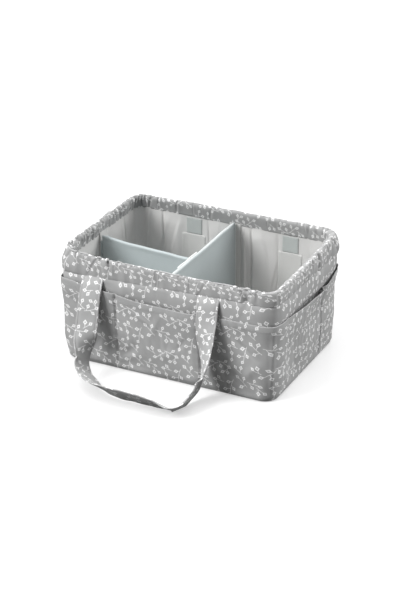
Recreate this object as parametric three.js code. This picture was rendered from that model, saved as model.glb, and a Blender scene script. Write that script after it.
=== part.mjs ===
// A soft fabric diaper caddy: a stiffened rectangular basket with a gathered rim, a band of outer
// pockets, two strap handles that swing and two padded dividers that lift out.
// Millimetres, +Z up, front towards -Y. The origin is the middle of the base, on the surface below it.
import * as THREE from "three";

// Driving dimensions
const bodyLength = 364; // outer fabric, left to right
const bodyWidth = 248; // outer fabric, front to back
const cornerRadius = 22; // of the outer fabric, seen from above
const clearance = 0.3; // between pieces that are sewn or laid against each other

const panelThickness = 1.0; // printed outer fabric
const boardThickness = 3.0; // foam board in each wall
const liningThickness = 0.8; // smooth inner fabric
const baseCoverThickness = 1.2;
const baseBoardThickness = 2.5;

const rimTop = 190; // highest point of the gathered rim
const rimCrown = 12; // from the top edge of the sewn walls to the top of the rim
const rimOuterDrop = 31; // from the top of the rim to the lower edge of its casing outside
const rimInnerDrop = 15; // the same inside
const rimBulge = 8.5; // how far the casing stands out from the outer fabric
const rimFabric = 1.4; // gathered casing fabric
const elasticThickness = 3.0;
const elasticHeight = 6.0;

const pocketFabric = 1.2;
const pocketGap = 6.6; // room between a pocket and the wall at its mouth
const pocketMouthMiddle = 130; // height of the mouth in the middle of a wall
const pocketMouthCorner = 139; // height of the mouth at the corners
const pocketSeamRun = 18; // distance over which a pocket leaves a seam
const pocketBottomRun = 34; // distance over which a pocket leaves the base seam
const hemHeight = 9; // doubled top edge of a pocket
const hemExtra = 0.6; // extra thickness of that edge
const frontSeams = [-84, 62]; // vertical pocket seams along a long wall, from its middle
const sideSeams = [52]; // vertical pocket seams along a short wall, from its middle

const strapWidth = 36;
const strapThickness = 3;
const strapRootDrop = 3; // from the casing's lower edge to the line where a handle turns
const strapReach = 89; // how far out from that line a hanging handle lies
const strapLeftLeg = -123; // middle of the handle's left end
const strapRightLeg = 77.5; // middle of the handle's right end
const tabDepth = 9; // height of the sewn handle end below the rim
const strapSteps = 52;

const dividerThickness = 6.4;
const dividerFabric = 0.9;
const mainDividerX = 5; // middle plane of the front-to-back divider
const mainDividerDrop = 11; // from the top of the rim to its upper edge
const crossDividerDrop = 24; // the same, along most of its length
const crossDividerRise = 5; // extra height at the left wall
const crossLeftY = -11; // where it meets the left wall
const crossRightY = -22; // where it meets the front-to-back divider
const dividerFoot = 2; // gap between a divider and the floor of the basket

const tapeThickness = 1.5; // hook and loop tape
const hookWidth = 5;
const loopStripWidth = 42;
const mainLoopWidth = 20;
const tapeFoot = 12; // lower end of a tape above the floor of the basket
const flapWidth = 27; // turned end of the cross divider on the left wall
const mainFlapLength = 67; // turned end of the cross divider on the front-to-back divider
const closureTabSize = 28;
const closureTabDrop = 6; // from the rim's inner edge to a closure tab
const closureTabThickness = 1.0;
const leftStripX = -70; // spare divider places on the back wall
const rightStripX = 104;

const arcSteps = 3; // flats in each half of a corner
const straightSteps = 6; // flats along a wall between its corners

// Levels and layers worked out from those
const wallTop = rimTop - rimCrown;
const rimOuterHem = rimTop - rimOuterDrop;
const rimInnerHem = rimTop - rimInnerDrop;
const strapRootHeight = rimOuterHem - strapRootDrop;
const mainDividerTop = rimTop - mainDividerDrop;
const crossDividerTop = rimTop - crossDividerDrop;
const panelInner = -panelThickness;
const boardOuter = panelInner - clearance;
const boardInner = boardOuter - boardThickness;
const liningOuter = boardInner - clearance;
const liningInner = liningOuter - liningThickness;
const insideOffset = liningInner - clearance;
const wallFoot = baseCoverThickness + clearance;
const baseBoardTop = wallFoot + baseBoardThickness;
const floorTop = baseBoardTop + clearance + liningThickness;
const dividerBottom = floorTop + dividerFoot;
const tapeBottom = floorTop + tapeFoot;
const tapeTop = rimInnerHem - clearance;
const insideBack = bodyWidth / 2 + insideOffset; // face that holds tapes on the long walls
const insideLeft = bodyLength / 2 + insideOffset; // the same on the short walls
const tapeFace = tapeThickness + clearance;
const strapPlane = bodyWidth / 2 + rimBulge + clearance + strapThickness / 2;

// Materials
const finish = (color, roughness) => new THREE.MeshStandardMaterial({ color, roughness, metalness: 0 });
const printedCotton = finish(0x9a9a99, 0.9);
const liningFabric = finish(0xb9b8b6, 0.6);
const dividerCloth = finish(0xb3bfc0, 0.55);
const foamBoard = finish(0xd9d9d6, 0.8);
const elasticBand = finish(0xeeeeec, 0.8);
const hookTape = finish(0xc9d3d2, 0.95);

const caddy = new THREE.Group();

function addMesh(group, name, geometry, material) {
  const mesh = new THREE.Mesh(geometry, material);
  mesh.name = name;
  group.add(mesh);
  return mesh;
}

const ease = (share) => {
  const t = THREE.MathUtils.clamp(share, 0, 1);
  return t * t * (3 - 2 * t);
};

// A closed surface from corner points and triangles, turned so that its faces point out.
function closedGeometry(points, triangles) {
  let volume = 0;
  const normal = new THREE.Vector3();
  for (const [a, b, c] of triangles) {
    volume += points[a].dot(normal.crossVectors(points[b], points[c]));
  }
  const index = triangles.flatMap(([a, b, c]) => (volume > 0 ? [a, b, c] : [a, c, b]));
  return new THREE.BufferGeometry().setFromPoints(points).setIndex(index);
}

// A skin over a row of rings with equal point counts. An open row gets flat ends.
function loft(rings, isLoop, section) {
  const count = rings[0].length;
  const triangles = [];
  const last = isLoop ? rings.length : rings.length - 1;
  for (let k = 0; k < last; k++) {
    const here = k * count;
    const next = ((k + 1) % rings.length) * count;
    for (let p = 0; p < count; p++) {
      const q = (p + 1) % count;
      triangles.push([here + p, here + q, next + q], [here + p, next + q, next + p]);
    }
  }
  if (!isLoop) {
    const end = (rings.length - 1) * count;
    const area = THREE.ShapeUtils.area(section);
    for (const [a, b, c] of THREE.ShapeUtils.triangulateShape(section, [])) {
      const turn = THREE.ShapeUtils.area([section[a], section[b], section[c]]) * area > 0;
      const [i, j] = turn ? [b, c] : [c, b];
      triangles.push([a, j, i], [end + a, end + i, end + j]);
    }
  }
  return closedGeometry(rings.flat(), triangles);
}

const block = (width, depth, height, x, y, bottom) =>
  new THREE.BoxGeometry(width, depth, height).translate(x, y, bottom + height / 2);

// Plan of the basket: stations of one wall, from the middle of one corner to the middle of the next.
// Each station has a place on the outer fabric, its outward direction and its distance from the
// middle of the wall. The wall is drawn as the front one, and its group turns it into place.
function wallStations(wall, seams) {
  const run = wall.length / 2 - cornerRadius;
  const face = -wall.offset;
  const stations = [];
  const addCorner = (side, from) => {
    for (let i = 0; i <= arcSteps; i++) {
      const angle = from + (i / arcSteps) * (Math.PI / 4);
      const [nx, ny] = [Math.cos(angle), Math.sin(angle)];
      const x = side * run + cornerRadius * nx;
      const y = face + cornerRadius + cornerRadius * ny;
      stations.push({ x, y, nx, ny, u: side * run + cornerRadius * (angle + Math.PI / 2) });
    }
  };
  addCorner(-1, (-3 * Math.PI) / 4);
  for (const u of straightStops(run, seams)) {
    stations.push({ x: u, y: face, nx: 0, ny: -1, u });
  }
  addCorner(1, -Math.PI / 2);
  return stations;
}

// Places along the straight part of a wall: an even row, or a closer row at each pocket seam.
function straightStops(run, seams) {
  const stops = [];
  if (!seams) {
    for (let i = 1; i < straightSteps; i++) stops.push(-run + (2 * run * i) / straightSteps);
    return stops;
  }
  const edges = [-run, ...seams, run];
  for (let i = 0; i < edges.length - 1; i++) {
    const [from, to] = [edges[i], edges[i + 1]];
    const step = Math.min(pocketSeamRun, (to - from) / 3);
    if (i > 0) stops.push(from);
    stops.push(from + step / 2, from + step, (from + to) / 2, to - step, to - step / 2);
  }
  return stops;
}

// A closed sheet along a wall. shares are heights between bottom and top, and inner and outer give
// its two faces as distances outside the outer fabric.
function wallSheet({ stations, shares, bottom, top, inner, outer }) {
  const points = [];
  const columns = shares.length;
  const rows = stations.length;
  for (const depth of [inner, outer]) {
    for (const s of stations) {
      for (const share of shares) {
        const z = bottom + share * (top(s) - bottom);
        const d = depth(s, z);
        points.push(new THREE.Vector3(s.x + s.nx * d, s.y + s.ny * d, z));
      }
    }
  }
  const at = (layer, i, j) => (layer * rows + i) * columns + j;
  const triangles = [];
  const quad = (a, b, c, d) => triangles.push([a, b, c], [a, c, d]);
  for (let i = 0; i < rows - 1; i++) {
    for (let j = 0; j < columns - 1; j++) {
      quad(at(1, i, j), at(1, i + 1, j), at(1, i + 1, j + 1), at(1, i, j + 1));
      quad(at(0, i, j + 1), at(0, i + 1, j + 1), at(0, i + 1, j), at(0, i, j));
    }
    const j = columns - 1;
    quad(at(1, i, j), at(1, i + 1, j), at(0, i + 1, j), at(0, i, j));
    quad(at(0, i, 0), at(0, i + 1, 0), at(1, i + 1, 0), at(1, i, 0));
  }
  const i = rows - 1;
  for (let j = 0; j < columns - 1; j++) {
    quad(at(1, 0, j), at(1, 0, j + 1), at(0, 0, j + 1), at(0, 0, j));
    quad(at(0, i, j), at(0, i, j + 1), at(1, i, j + 1), at(1, i, j));
  }
  return closedGeometry(points, triangles);
}

// The four walls
const long = { length: bodyLength, offset: bodyWidth / 2, seams: frontSeams };
const short = { length: bodyWidth, offset: bodyLength / 2, seams: sideSeams };
const walls = [
  { name: "front", turn: 0, ...long },
  { name: "right", turn: Math.PI / 2, ...short },
  { name: "back", turn: Math.PI, ...long },
  { name: "left", turn: (3 * Math.PI) / 2, ...short },
];

function addWallLayers(wall, group) {
  const stations = wallStations(wall);
  const layer = (name, inner, outer, material) =>
    addMesh(
      group,
      `${wall.name}_${name}`,
      wallSheet({
        stations: mitred(stations),
        shares: [0, 1],
        bottom: wallFoot,
        top: () => wallTop,
        inner: () => inner,
        outer: () => outer,
      }),
      material,
    );
  layer("panel", panelInner, 0, printedCotton);
  layer("board", boardInner, boardOuter, foamBoard);
  layer("lining", liningInner, liningOuter, liningFabric);
}

// The same stations with the two end ones drawn in, so that neighbouring walls don't share an edge.
function mitred(stations) {
  const ends = stations.map((s) => ({ ...s }));
  const [first, last] = [ends[0], ends[ends.length - 1]];
  for (const [end, way] of [[first, 1], [last, -1]]) {
    end.x += (way * clearance * -end.ny) / 2;
    end.y += (way * clearance * end.nx) / 2;
  }
  return ends;
}

// Pockets
// A pocket is sewn flat at the base, at the corners and at its seams, and stands open between them.
function addPocket(wall, group) {
  const stations = mitred(wallStations(wall, wall.seams));
  const run = wall.length / 2 - cornerRadius;
  const edges = [-run, ...wall.seams, run];
  const mouth = (s) => {
    const share = Math.min(1, Math.abs(s.u) / run);
    return pocketMouthMiddle + (pocketMouthCorner - pocketMouthMiddle) * share * share;
  };
  const gap = (s, z) => {
    const away = Math.min(...edges.map((edge) => Math.abs(s.u - edge)));
    const open = Math.abs(s.u) >= run ? 0 : ease(away / pocketSeamRun);
    return clearance + (pocketGap - clearance) * open * ease((z - wallFoot) / pocketBottomRun);
  };
  const hemShare = 1 - hemHeight / pocketMouthMiddle;
  const isHem = (s, z) => z > wallFoot + (hemShare + 0.001) * (mouth(s) - wallFoot);
  addMesh(
    group,
    `${wall.name}_pocket`,
    wallSheet({
      stations,
      shares: [0, 0.08, 0.18, 0.3, hemShare, hemShare + 0.004, 1],
      bottom: wallFoot,
      top: mouth,
      inner: gap,
      outer: (s, z) => gap(s, z) + pocketFabric + (isHem(s, z) ? hemExtra : 0),
    }),
    printedCotton,
  );
}

for (const wall of walls) {
  const group = new THREE.Group();
  group.rotation.z = wall.turn;
  addWallLayers(wall, group);
  addPocket(wall, group);
  caddy.add(group);
}

// Base
function roundedPlate(offset, bottom, thickness) {
  const [a, b, r] = [bodyLength / 2 + offset, bodyWidth / 2 + offset, cornerRadius + offset];
  const plan = new THREE.Shape();
  plan.absarc(a - r, b - r, r, 0, Math.PI / 2);
  plan.absarc(r - a, b - r, r, Math.PI / 2, Math.PI);
  plan.absarc(r - a, r - b, r, Math.PI, 1.5 * Math.PI);
  plan.absarc(a - r, r - b, r, 1.5 * Math.PI, 2 * Math.PI);
  const settings = { depth: thickness, bevelEnabled: false, curveSegments: 2 * arcSteps };
  return new THREE.ExtrudeGeometry(plan, settings).translate(0, 0, bottom);
}
addMesh(caddy, "base_cover", roundedPlate(0, 0, baseCoverThickness), printedCotton);
addMesh(caddy, "base_board", roundedPlate(insideOffset, wallFoot, baseBoardThickness), foamBoard);
const baseLining = roundedPlate(insideOffset, baseBoardTop + clearance, liningThickness);
addMesh(caddy, "base_lining", baseLining, liningFabric);

// Rim: a fabric casing folded over the wall's top edge, with an elastic inside
const rimStations = walls.flatMap((wall) => {
  const spin = new THREE.Matrix4().makeRotationZ(wall.turn);
  const stations = wallStations(wall).slice(1);
  return stations.map((s) => ({
    place: new THREE.Vector3(s.x, s.y, 0).applyMatrix4(spin),
    out: new THREE.Vector3(s.nx, s.ny, 0).applyMatrix4(spin),
  }));
});
const rimRings = (section) =>
  rimStations.map(({ place, out }) =>
    section.map((p) => place.clone().addScaledVector(out, p.x).setZ(p.y)),
  );

function casingSection() {
  const half = rimFabric / 2;
  const outFace = rimBulge - half;
  const inFace = insideOffset - half;
  const height = rimTop - rimOuterHem;
  const middle = new THREE.SplineCurve([
    new THREE.Vector2(clearance + half, rimOuterHem),
    new THREE.Vector2(0.7 * outFace, rimOuterHem + 0.12 * height),
    new THREE.Vector2(outFace, rimOuterHem + 0.4 * height),
    new THREE.Vector2(0.75 * outFace, rimOuterHem + 0.75 * height),
    new THREE.Vector2(0.15 * outFace, rimTop - 1.6 * half),
    new THREE.Vector2(0.55 * inFace, rimTop - 2 * half),
    new THREE.Vector2(inFace, rimTop - 0.25 * height),
    new THREE.Vector2(inFace, rimInnerHem),
  ]);
  const steps = 10;
  const side = (way) =>
    Array.from({ length: steps + 1 }, (_, i) => {
      const along = middle.getTangent(i / steps);
      return middle.getPoint(i / steps).add(new THREE.Vector2(along.y, -along.x).multiplyScalar(way * half));
    });
  return [...side(1), ...side(-1).reverse()];
}
addMesh(caddy, "rim_casing", loft(rimRings(casingSection()), true), printedCotton);

function elasticSection() {
  const middle = liningInner / 2;
  const [near, far] = [middle + elasticThickness / 2, middle - elasticThickness / 2];
  const [low, high] = [wallTop + clearance, wallTop + clearance + elasticHeight];
  return [
    new THREE.Vector2(near, low),
    new THREE.Vector2(near, high),
    new THREE.Vector2(far, high),
    new THREE.Vector2(far, low),
  ];
}
addMesh(caddy, "rim_elastic", loft(rimRings(elasticSection()), true), elasticBand);

// Handles
// Stations of a hanging handle: sideways from its nearer end and outwards from the line where it
// turns as shares of its reach, height as a share of that line's, and the direction across the strap.
const strapRoute = [
  { end: "left", side: 0, out: 0, height: 1, across: [1, 0, 0] },
  { end: "left", side: 0, out: 0.056, height: 0.897, across: [1, 0, 0] },
  { end: "left", side: 0, out: 0.157, height: 0.737, across: [1, 0, 0] },
  { end: "left", side: 0.011, out: 0.236, height: 0.583, across: [1, 0, 0] },
  { end: "left", side: 0.022, out: 0.292, height: 0.442, across: [1, -0.05, 0] },
  { end: "left", side: 0.034, out: 0.326, height: 0.321, across: [0.96, -0.2, 0.12] },
  { end: "left", side: 0.056, out: 0.371, height: 0.218, across: [0.86, -0.33, 0.38] },
  { end: "left", side: 0.135, out: 0.483, height: 0.154, across: [0.6, -0.3, 0.74] },
  { end: "left", side: 0.326, out: 0.674, height: 0.125, across: [0.15, -0.25, 0.96] },
  { end: "left", side: 0.64, out: 0.921, height: 0.112, across: [0, -0.44, 0.9] },
  { end: "left", side: 0.989, out: 1, height: 0.103, across: [0, -0.56, 0.83] },
  { end: "left", side: 1.292, out: 0.994, height: 0.099, across: [0, -0.62, 0.79] },
  { end: "right", side: -0.545, out: 1, height: 0.09, across: [0, -0.72, 0.69] },
  { end: "right", side: -0.247, out: 0.994, height: 0.08, across: [0.08, -0.78, 0.62] },
  { end: "right", side: -0.112, out: 0.91, height: 0.08, across: [0.5, -0.5, 0.7] },
  { end: "right", side: -0.067, out: 0.73, height: 0.09, across: [0.55, -0.1, 0.83] },
  { end: "right", side: -0.022, out: 0.416, height: 0.147, across: [0.45, -0.15, 0.88] },
  { end: "right", side: 0.017, out: 0.292, height: 0.231, across: [0.4, -0.65, 0.65] },
  { end: "right", side: 0.039, out: 0.247, height: 0.333, across: [0.2, -0.95, 0.2] },
  { end: "right", side: 0.045, out: 0.219, height: 0.449, across: [-0.18, -0.97, 0.1] },
  { end: "right", side: 0.034, out: 0.18, height: 0.577, across: [-0.6, -0.8, 0] },
  { end: "right", side: 0.017, out: 0.135, height: 0.692, across: [-0.85, -0.5, 0] },
  { end: "right", side: 0.006, out: 0.056, height: 0.859, across: [-1, -0.1, 0] },
  { end: "right", side: 0, out: 0, height: 1, across: [-1, 0, 0] },
];

function strapGeometry() {
  const legs = { left: strapLeftLeg, right: strapRightLeg };
  const places = strapRoute.map(
    (s) =>
      new THREE.Vector3(
        legs[s.end] + s.side * strapReach,
        -strapPlane - s.out * strapReach,
        s.height * strapRootHeight,
      ),
  );
  const middle = new THREE.CatmullRomCurve3(places);
  const across = new THREE.CatmullRomCurve3(strapRoute.map((s) => new THREE.Vector3(...s.across)));
  const [w, t] = [strapWidth / 2, strapThickness / 2];
  const section = [[-w, -t], [w, -t], [w, t], [-w, t]].map(([x, y]) => new THREE.Vector2(x, y));
  const rings = [];
  for (let i = 0; i <= strapSteps; i++) {
    const share = i / strapSteps;
    const place = middle.getPoint(share);
    const along = middle.getTangent(share);
    const width = across.getPoint(share);
    width.addScaledVector(along, -width.dot(along)).normalize();
    const depth = new THREE.Vector3().crossVectors(along, width);
    rings.push(section.map((p) => place.clone().addScaledVector(width, p.x).addScaledVector(depth, p.y)));
  }
  restOnFloor(rings);
  return loft(rings, false, section);
}

// Lifts the corners of a strap that would lie below the surface under the basket.
function restOnFloor(rings) {
  for (const ring of rings) {
    const low = Math.min(...ring.map((p) => p.z));
    if (low < 0) ring.forEach((p) => (p.z -= low));
  }
}

// The sewn end of a handle: it leaves the wall under the rim and ends beside the turning line.
function handleTabGeometry(x) {
  const front = strapPlane - strapThickness / 2 - clearance;
  const back = bodyWidth / 2 + clearance;
  const top = rimOuterHem - clearance - rimFabric;
  const profile = new THREE.Shape();
  profile.moveTo(back, top);
  profile.lineTo(front, strapRootHeight);
  profile.lineTo(front, strapRootHeight - tabDepth);
  profile.lineTo(back, top - tabDepth);
  const tab = new THREE.ExtrudeGeometry(profile, { depth: strapWidth, bevelEnabled: false });
  return tab.rotateX(Math.PI / 2).rotateZ(-Math.PI / 2).translate(x + strapWidth / 2, 0, 0);
}

for (const [name, turn] of [["front", 0], ["back", Math.PI]]) {
  const group = new THREE.Group();
  group.rotation.z = turn;
  addMesh(group, `${name}_handle_strap`, strapGeometry(), printedCotton);
  addMesh(group, `${name}_handle_left_tab`, handleTabGeometry(strapLeftLeg), printedCotton);
  addMesh(group, `${name}_handle_right_tab`, handleTabGeometry(strapRightLeg), printedCotton);
  caddy.add(group);
}

// Dividers
// Each is a foam board under a fabric cover that is folded over its top edge. It is drawn along its
// own x axis, centred on its own plane, with top giving the height of its upper edge.
function coverSection(top) {
  const half = dividerThickness / 2;
  const steps = 6;
  const fold = (radius) =>
    Array.from({ length: steps + 1 }, (_, i) => {
      const angle = Math.PI - (Math.PI * i) / steps;
      return new THREE.Vector2(radius * Math.cos(angle), top - half + radius * Math.sin(angle));
    });
  const inside = half - dividerFabric;
  return [
    new THREE.Vector2(-half, dividerBottom),
    ...fold(half),
    new THREE.Vector2(half, dividerBottom),
    new THREE.Vector2(inside, dividerBottom),
    ...fold(inside).reverse(),
    new THREE.Vector2(-inside, dividerBottom),
  ];
}

function dividerCover(length, top, steps) {
  const rings = [];
  for (let i = 0; i <= steps; i++) {
    const x = (length * i) / steps;
    rings.push(coverSection(top(x)).map((p) => new THREE.Vector3(x, p.x, p.y)));
  }
  return loft(rings, false, coverSection(top(0)));
}

function dividerBoard(length, top, steps) {
  const outline = new THREE.Shape();
  const edge = (x) => top(x) - dividerThickness / 2;
  outline.moveTo(0, dividerBottom);
  outline.lineTo(length, dividerBottom);
  for (let i = steps; i >= 0; i--) {
    const x = (length * i) / steps;
    outline.lineTo(x, edge(x));
  }
  const thickness = dividerThickness - 2 * (dividerFabric + clearance);
  const board = new THREE.ExtrudeGeometry(outline, { depth: thickness, bevelEnabled: false });
  return board.translate(0, 0, -thickness / 2).rotateX(Math.PI / 2);
}

// Front-to-back divider, with hook tape on its two ends
const mainHalf = insideBack - tapeFace - tapeThickness - clearance;
const mainGroup = new THREE.Group();
mainGroup.position.set(mainDividerX, -mainHalf, 0);
mainGroup.rotation.z = Math.PI / 2;
const mainTop = () => mainDividerTop;
const mainLength = 2 * mainHalf;
addMesh(mainGroup, "main_divider_cover", dividerCover(mainLength, mainTop, 1), dividerCloth);
addMesh(mainGroup, "main_divider_board", dividerBoard(mainLength, mainTop, 1), foamBoard);
const hookHeight = mainDividerTop - dividerThickness - tapeBottom;
const hookReach = clearance + tapeThickness / 2;
for (const [name, x] of [["front", -hookReach], ["back", mainLength + hookReach]]) {
  const hook = block(tapeThickness, hookWidth, hookHeight, x, 0, tapeBottom);
  addMesh(mainGroup, `main_divider_${name}_hook`, hook, hookTape);
}
caddy.add(mainGroup);

// Left-to-right divider: one end is turned along the left wall, the other along the main divider
const leftFlapFace = insideLeft - tapeFace; // wall side of the left flap
const crossStart = -(leftFlapFace - tapeThickness - 2 * clearance);
const mainFlapFace = mainDividerX - dividerThickness / 2 - clearance;
const crossEnd = mainFlapFace - tapeThickness - 2 * clearance;
const crossRun = new THREE.Vector2(crossEnd - crossStart, crossRightY - crossLeftY);
const crossLength = crossRun.length();
const crossTop = (x) => crossDividerTop + crossDividerRise * Math.max(0, 1 - (2 * x) / crossLength) ** 2;
const crossGroup = new THREE.Group();
crossGroup.position.set(crossStart, crossLeftY, 0);
crossGroup.rotation.z = crossRun.angle();
addMesh(crossGroup, "cross_divider_cover", dividerCover(crossLength, crossTop, 10), dividerCloth);
addMesh(crossGroup, "cross_divider_board", dividerBoard(crossLength, crossTop, 10), foamBoard);
caddy.add(crossGroup);

const flapHeight = crossDividerTop - dividerThickness - tapeBottom;
const leftFlapX = -(leftFlapFace - tapeThickness / 2);
const leftFlapY = crossLeftY - dividerThickness / 2 + flapWidth / 2;
const leftFlap = block(tapeThickness, flapWidth, flapHeight, leftFlapX, leftFlapY, tapeBottom);
addMesh(caddy, "cross_divider_left_flap", leftFlap, dividerCloth);
const mainFlapX = mainFlapFace - tapeThickness / 2;
const mainFlapY = crossRightY + dividerThickness / 2 - mainFlapLength / 2;
const mainFlapHeight = mainDividerTop - dividerThickness / 2 - tapeBottom;
const mainFlap = block(tapeThickness, mainFlapLength, mainFlapHeight, mainFlapX, mainFlapY, tapeBottom);
addMesh(caddy, "cross_divider_main_flap", mainFlap, dividerCloth);

// Loop tape and closure tabs sewn to the lining
const tapeHeight = tapeTop - tapeBottom;
const backTapeY = insideBack - tapeThickness / 2;
for (const [name, way] of [["front", -1], ["back", 1]]) {
  const loop = block(mainLoopWidth, tapeThickness, tapeHeight, mainDividerX, way * backTapeY, tapeBottom);
  addMesh(caddy, `main_divider_${name}_loop`, loop, hookTape);
}
const leftLoopX = -(insideLeft - tapeThickness / 2);
const leftLoop = block(tapeThickness, flapWidth, tapeHeight, leftLoopX, leftFlapY, tapeBottom);
addMesh(caddy, "cross_divider_left_loop", leftLoop, hookTape);
const tabBottom = rimInnerHem - closureTabDrop - closureTabSize;
const stripHeight = tabBottom - clearance - tapeBottom;
const tabY = insideBack - closureTabThickness / 2;
for (const [name, x] of [["left", leftStripX], ["right", rightStripX]]) {
  const strip = block(loopStripWidth, tapeThickness, stripHeight, x, backTapeY, tapeBottom);
  addMesh(caddy, `back_${name}_loop_strip`, strip, hookTape);
  const tab = block(closureTabSize, closureTabThickness, closureTabSize, x, tabY, tabBottom);
  addMesh(caddy, `back_${name}_closure_tab`, tab, dividerCloth);
}

export default caddy;
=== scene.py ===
import math
import bpy
import numpy as np
from mathutils import Matrix, Vector


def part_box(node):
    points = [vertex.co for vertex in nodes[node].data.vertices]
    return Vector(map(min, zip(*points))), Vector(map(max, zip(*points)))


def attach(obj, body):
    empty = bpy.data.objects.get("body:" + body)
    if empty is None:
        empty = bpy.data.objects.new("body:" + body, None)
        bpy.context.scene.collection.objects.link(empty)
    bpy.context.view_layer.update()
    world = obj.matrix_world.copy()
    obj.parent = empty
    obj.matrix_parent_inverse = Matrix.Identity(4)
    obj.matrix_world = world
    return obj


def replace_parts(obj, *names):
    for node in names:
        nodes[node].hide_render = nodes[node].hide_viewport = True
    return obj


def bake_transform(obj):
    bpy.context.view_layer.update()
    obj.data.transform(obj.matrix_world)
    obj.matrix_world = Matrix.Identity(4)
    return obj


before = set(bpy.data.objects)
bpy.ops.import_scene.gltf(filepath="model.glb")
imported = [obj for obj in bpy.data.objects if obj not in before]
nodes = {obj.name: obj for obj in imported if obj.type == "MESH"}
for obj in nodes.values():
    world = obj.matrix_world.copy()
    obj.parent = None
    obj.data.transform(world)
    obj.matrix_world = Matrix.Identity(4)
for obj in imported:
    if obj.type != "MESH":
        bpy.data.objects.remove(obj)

scene = bpy.context.scene
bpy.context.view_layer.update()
bpy.ops.object.select_all(action="DESELECT")

shot = {
    "target": (0, 0, 0.084), "azimuth": 26.13, "elevation": 26.0, "distance": 2.983,
    "lens": 111.2, "shift": (-0.0015, 0.0008),
}


def placeCamera():
    turn, rise = math.radians(shot["azimuth"]), math.radians(shot["elevation"])
    away = Vector((math.sin(turn) * math.cos(rise), -math.cos(turn) * math.cos(rise), math.sin(rise)))
    spot = Vector(shot["target"]) + away * shot["distance"]
    bpy.ops.object.camera_add(location=spot, rotation=away.to_track_quat("Z", "Y").to_euler())
    camera = bpy.context.object
    camera.data.lens = shot["lens"]
    camera.data.shift_x, camera.data.shift_y = shot["shift"]
    scene.camera = camera


placeCamera()
print("camera placed")


# small helpers for shader nodes: a value may be a number or another node's output
def feed(tree, socket, value):
    if isinstance(value, bpy.types.NodeSocket):
        tree.links.new(value, socket)
    else:
        socket.default_value = value


def calc(tree, operation, *values, clamp=False):
    node = tree.nodes.new("ShaderNodeMath")
    node.operation, node.use_clamp = operation, clamp
    for socket, value in zip(node.inputs, values):
        feed(tree, socket, value)
    return node.outputs[0]


def vectorCalc(tree, operation, *values):
    node = tree.nodes.new("ShaderNodeVectorMath")
    node.operation = operation
    for socket, value in zip(node.inputs, values):
        feed(tree, socket, value)
    return node.outputs[0]


def turnAbout(tree, vector, angle):
    node = tree.nodes.new("ShaderNodeVectorRotate")
    node.rotation_type = "Z_AXIS"
    feed(tree, node.inputs["Vector"], vector)
    feed(tree, node.inputs["Angle"], angle)
    return node.outputs[0]


def split(tree, vector):
    node = tree.nodes.new("ShaderNodeSeparateXYZ")
    feed(tree, node.inputs[0], vector)
    return node.outputs


def blendColour(tree, share, first, second):
    node = tree.nodes.new("ShaderNodeMix")
    node.data_type = "RGBA"
    feed(tree, node.inputs["Factor"], share)
    feed(tree, node.inputs["A"], first)
    feed(tree, node.inputs["B"], second)
    return [s for s in node.outputs if s.type == "RGBA"][0]


def noiseValue(tree, vector, scale, detail=3.0, roughness=0.5):
    node = tree.nodes.new("ShaderNodeTexNoise")
    feed(tree, node.inputs["Vector"], vector)
    feed(tree, node.inputs["Scale"], scale)
    feed(tree, node.inputs["Detail"], detail)
    feed(tree, node.inputs["Roughness"], roughness)
    return node.outputs[0]


def waveValue(tree, vector, period, way):
    node = tree.nodes.new("ShaderNodeTexWave")
    node.wave_type, node.bands_direction = "BANDS", way
    feed(tree, node.inputs["Vector"], vector)
    feed(tree, node.inputs["Scale"], math.tau / (20 * period))
    return node.outputs[1]


def bumpFrom(tree, height, strength, depth):
    node = tree.nodes.new("ShaderNodeBump")
    feed(tree, node.inputs["Height"], height)
    node.inputs["Strength"].default_value = strength
    node.inputs["Distance"].default_value = depth
    return node.outputs[0]


def newGroup(name, inputs, output):
    tree = bpy.data.node_groups.new(name, "ShaderNodeTree")
    for label, kind in inputs:
        tree.interface.new_socket(name=label, in_out="INPUT", socket_type="NodeSocket" + kind)
    tree.interface.new_socket(name=output, in_out="OUTPUT", socket_type="NodeSocketFloat")
    entry = tree.nodes.new("NodeGroupInput").outputs
    leave = tree.nodes.new("NodeGroupOutput").inputs
    return tree, entry, leave


def useGroup(tree, group, **values):
    node = tree.nodes.new("ShaderNodeGroup")
    node.node_tree = group
    for label, value in values.items():
        feed(tree, node.inputs[label], value)
    return node.outputs[0]


def objectPlace(tree):
    # the piece's own coordinates, which stay on it when it moves
    return tree.nodes.new("ShaderNodeTexCoord").outputs["Object"]


def newMaterial(name):
    material = bpy.data.materials.new(name)
    material.use_nodes = True
    return material, material.node_tree, material.node_tree.nodes["Principled BSDF"]


# the printed cotton: small open leaves on thin bowed stems, drawn in millimetres on the cloth's own map
leafRepeat = {
    "size": (83.0, 67.0), "turn": 0.37, "seed": 7, "apart": 9.0, "near": 7.4, "reach": (3.8, 4.4),
    "breadth": (0.66, 0.80), "stalk": (2.4, 5.2), "line": 0.42, "twigs": {4: 24, 3: 17, 2: 10, 1: 5},
    "order": [4, 3, 3, 2, 3, 2, 3, 2, 2, 1, 2, 1],
}


def repeatGap(first, second):
    # nearest way between two places of a repeat whose columns drop by half
    wide, high = leafRepeat["size"]
    x, y = second[0] - first[0], second[1] - first[1]
    column = round(x / wide)
    x, y = x - column * wide, y - column * high / 2
    return math.hypot(x, y - round(y / high) * high)


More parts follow.
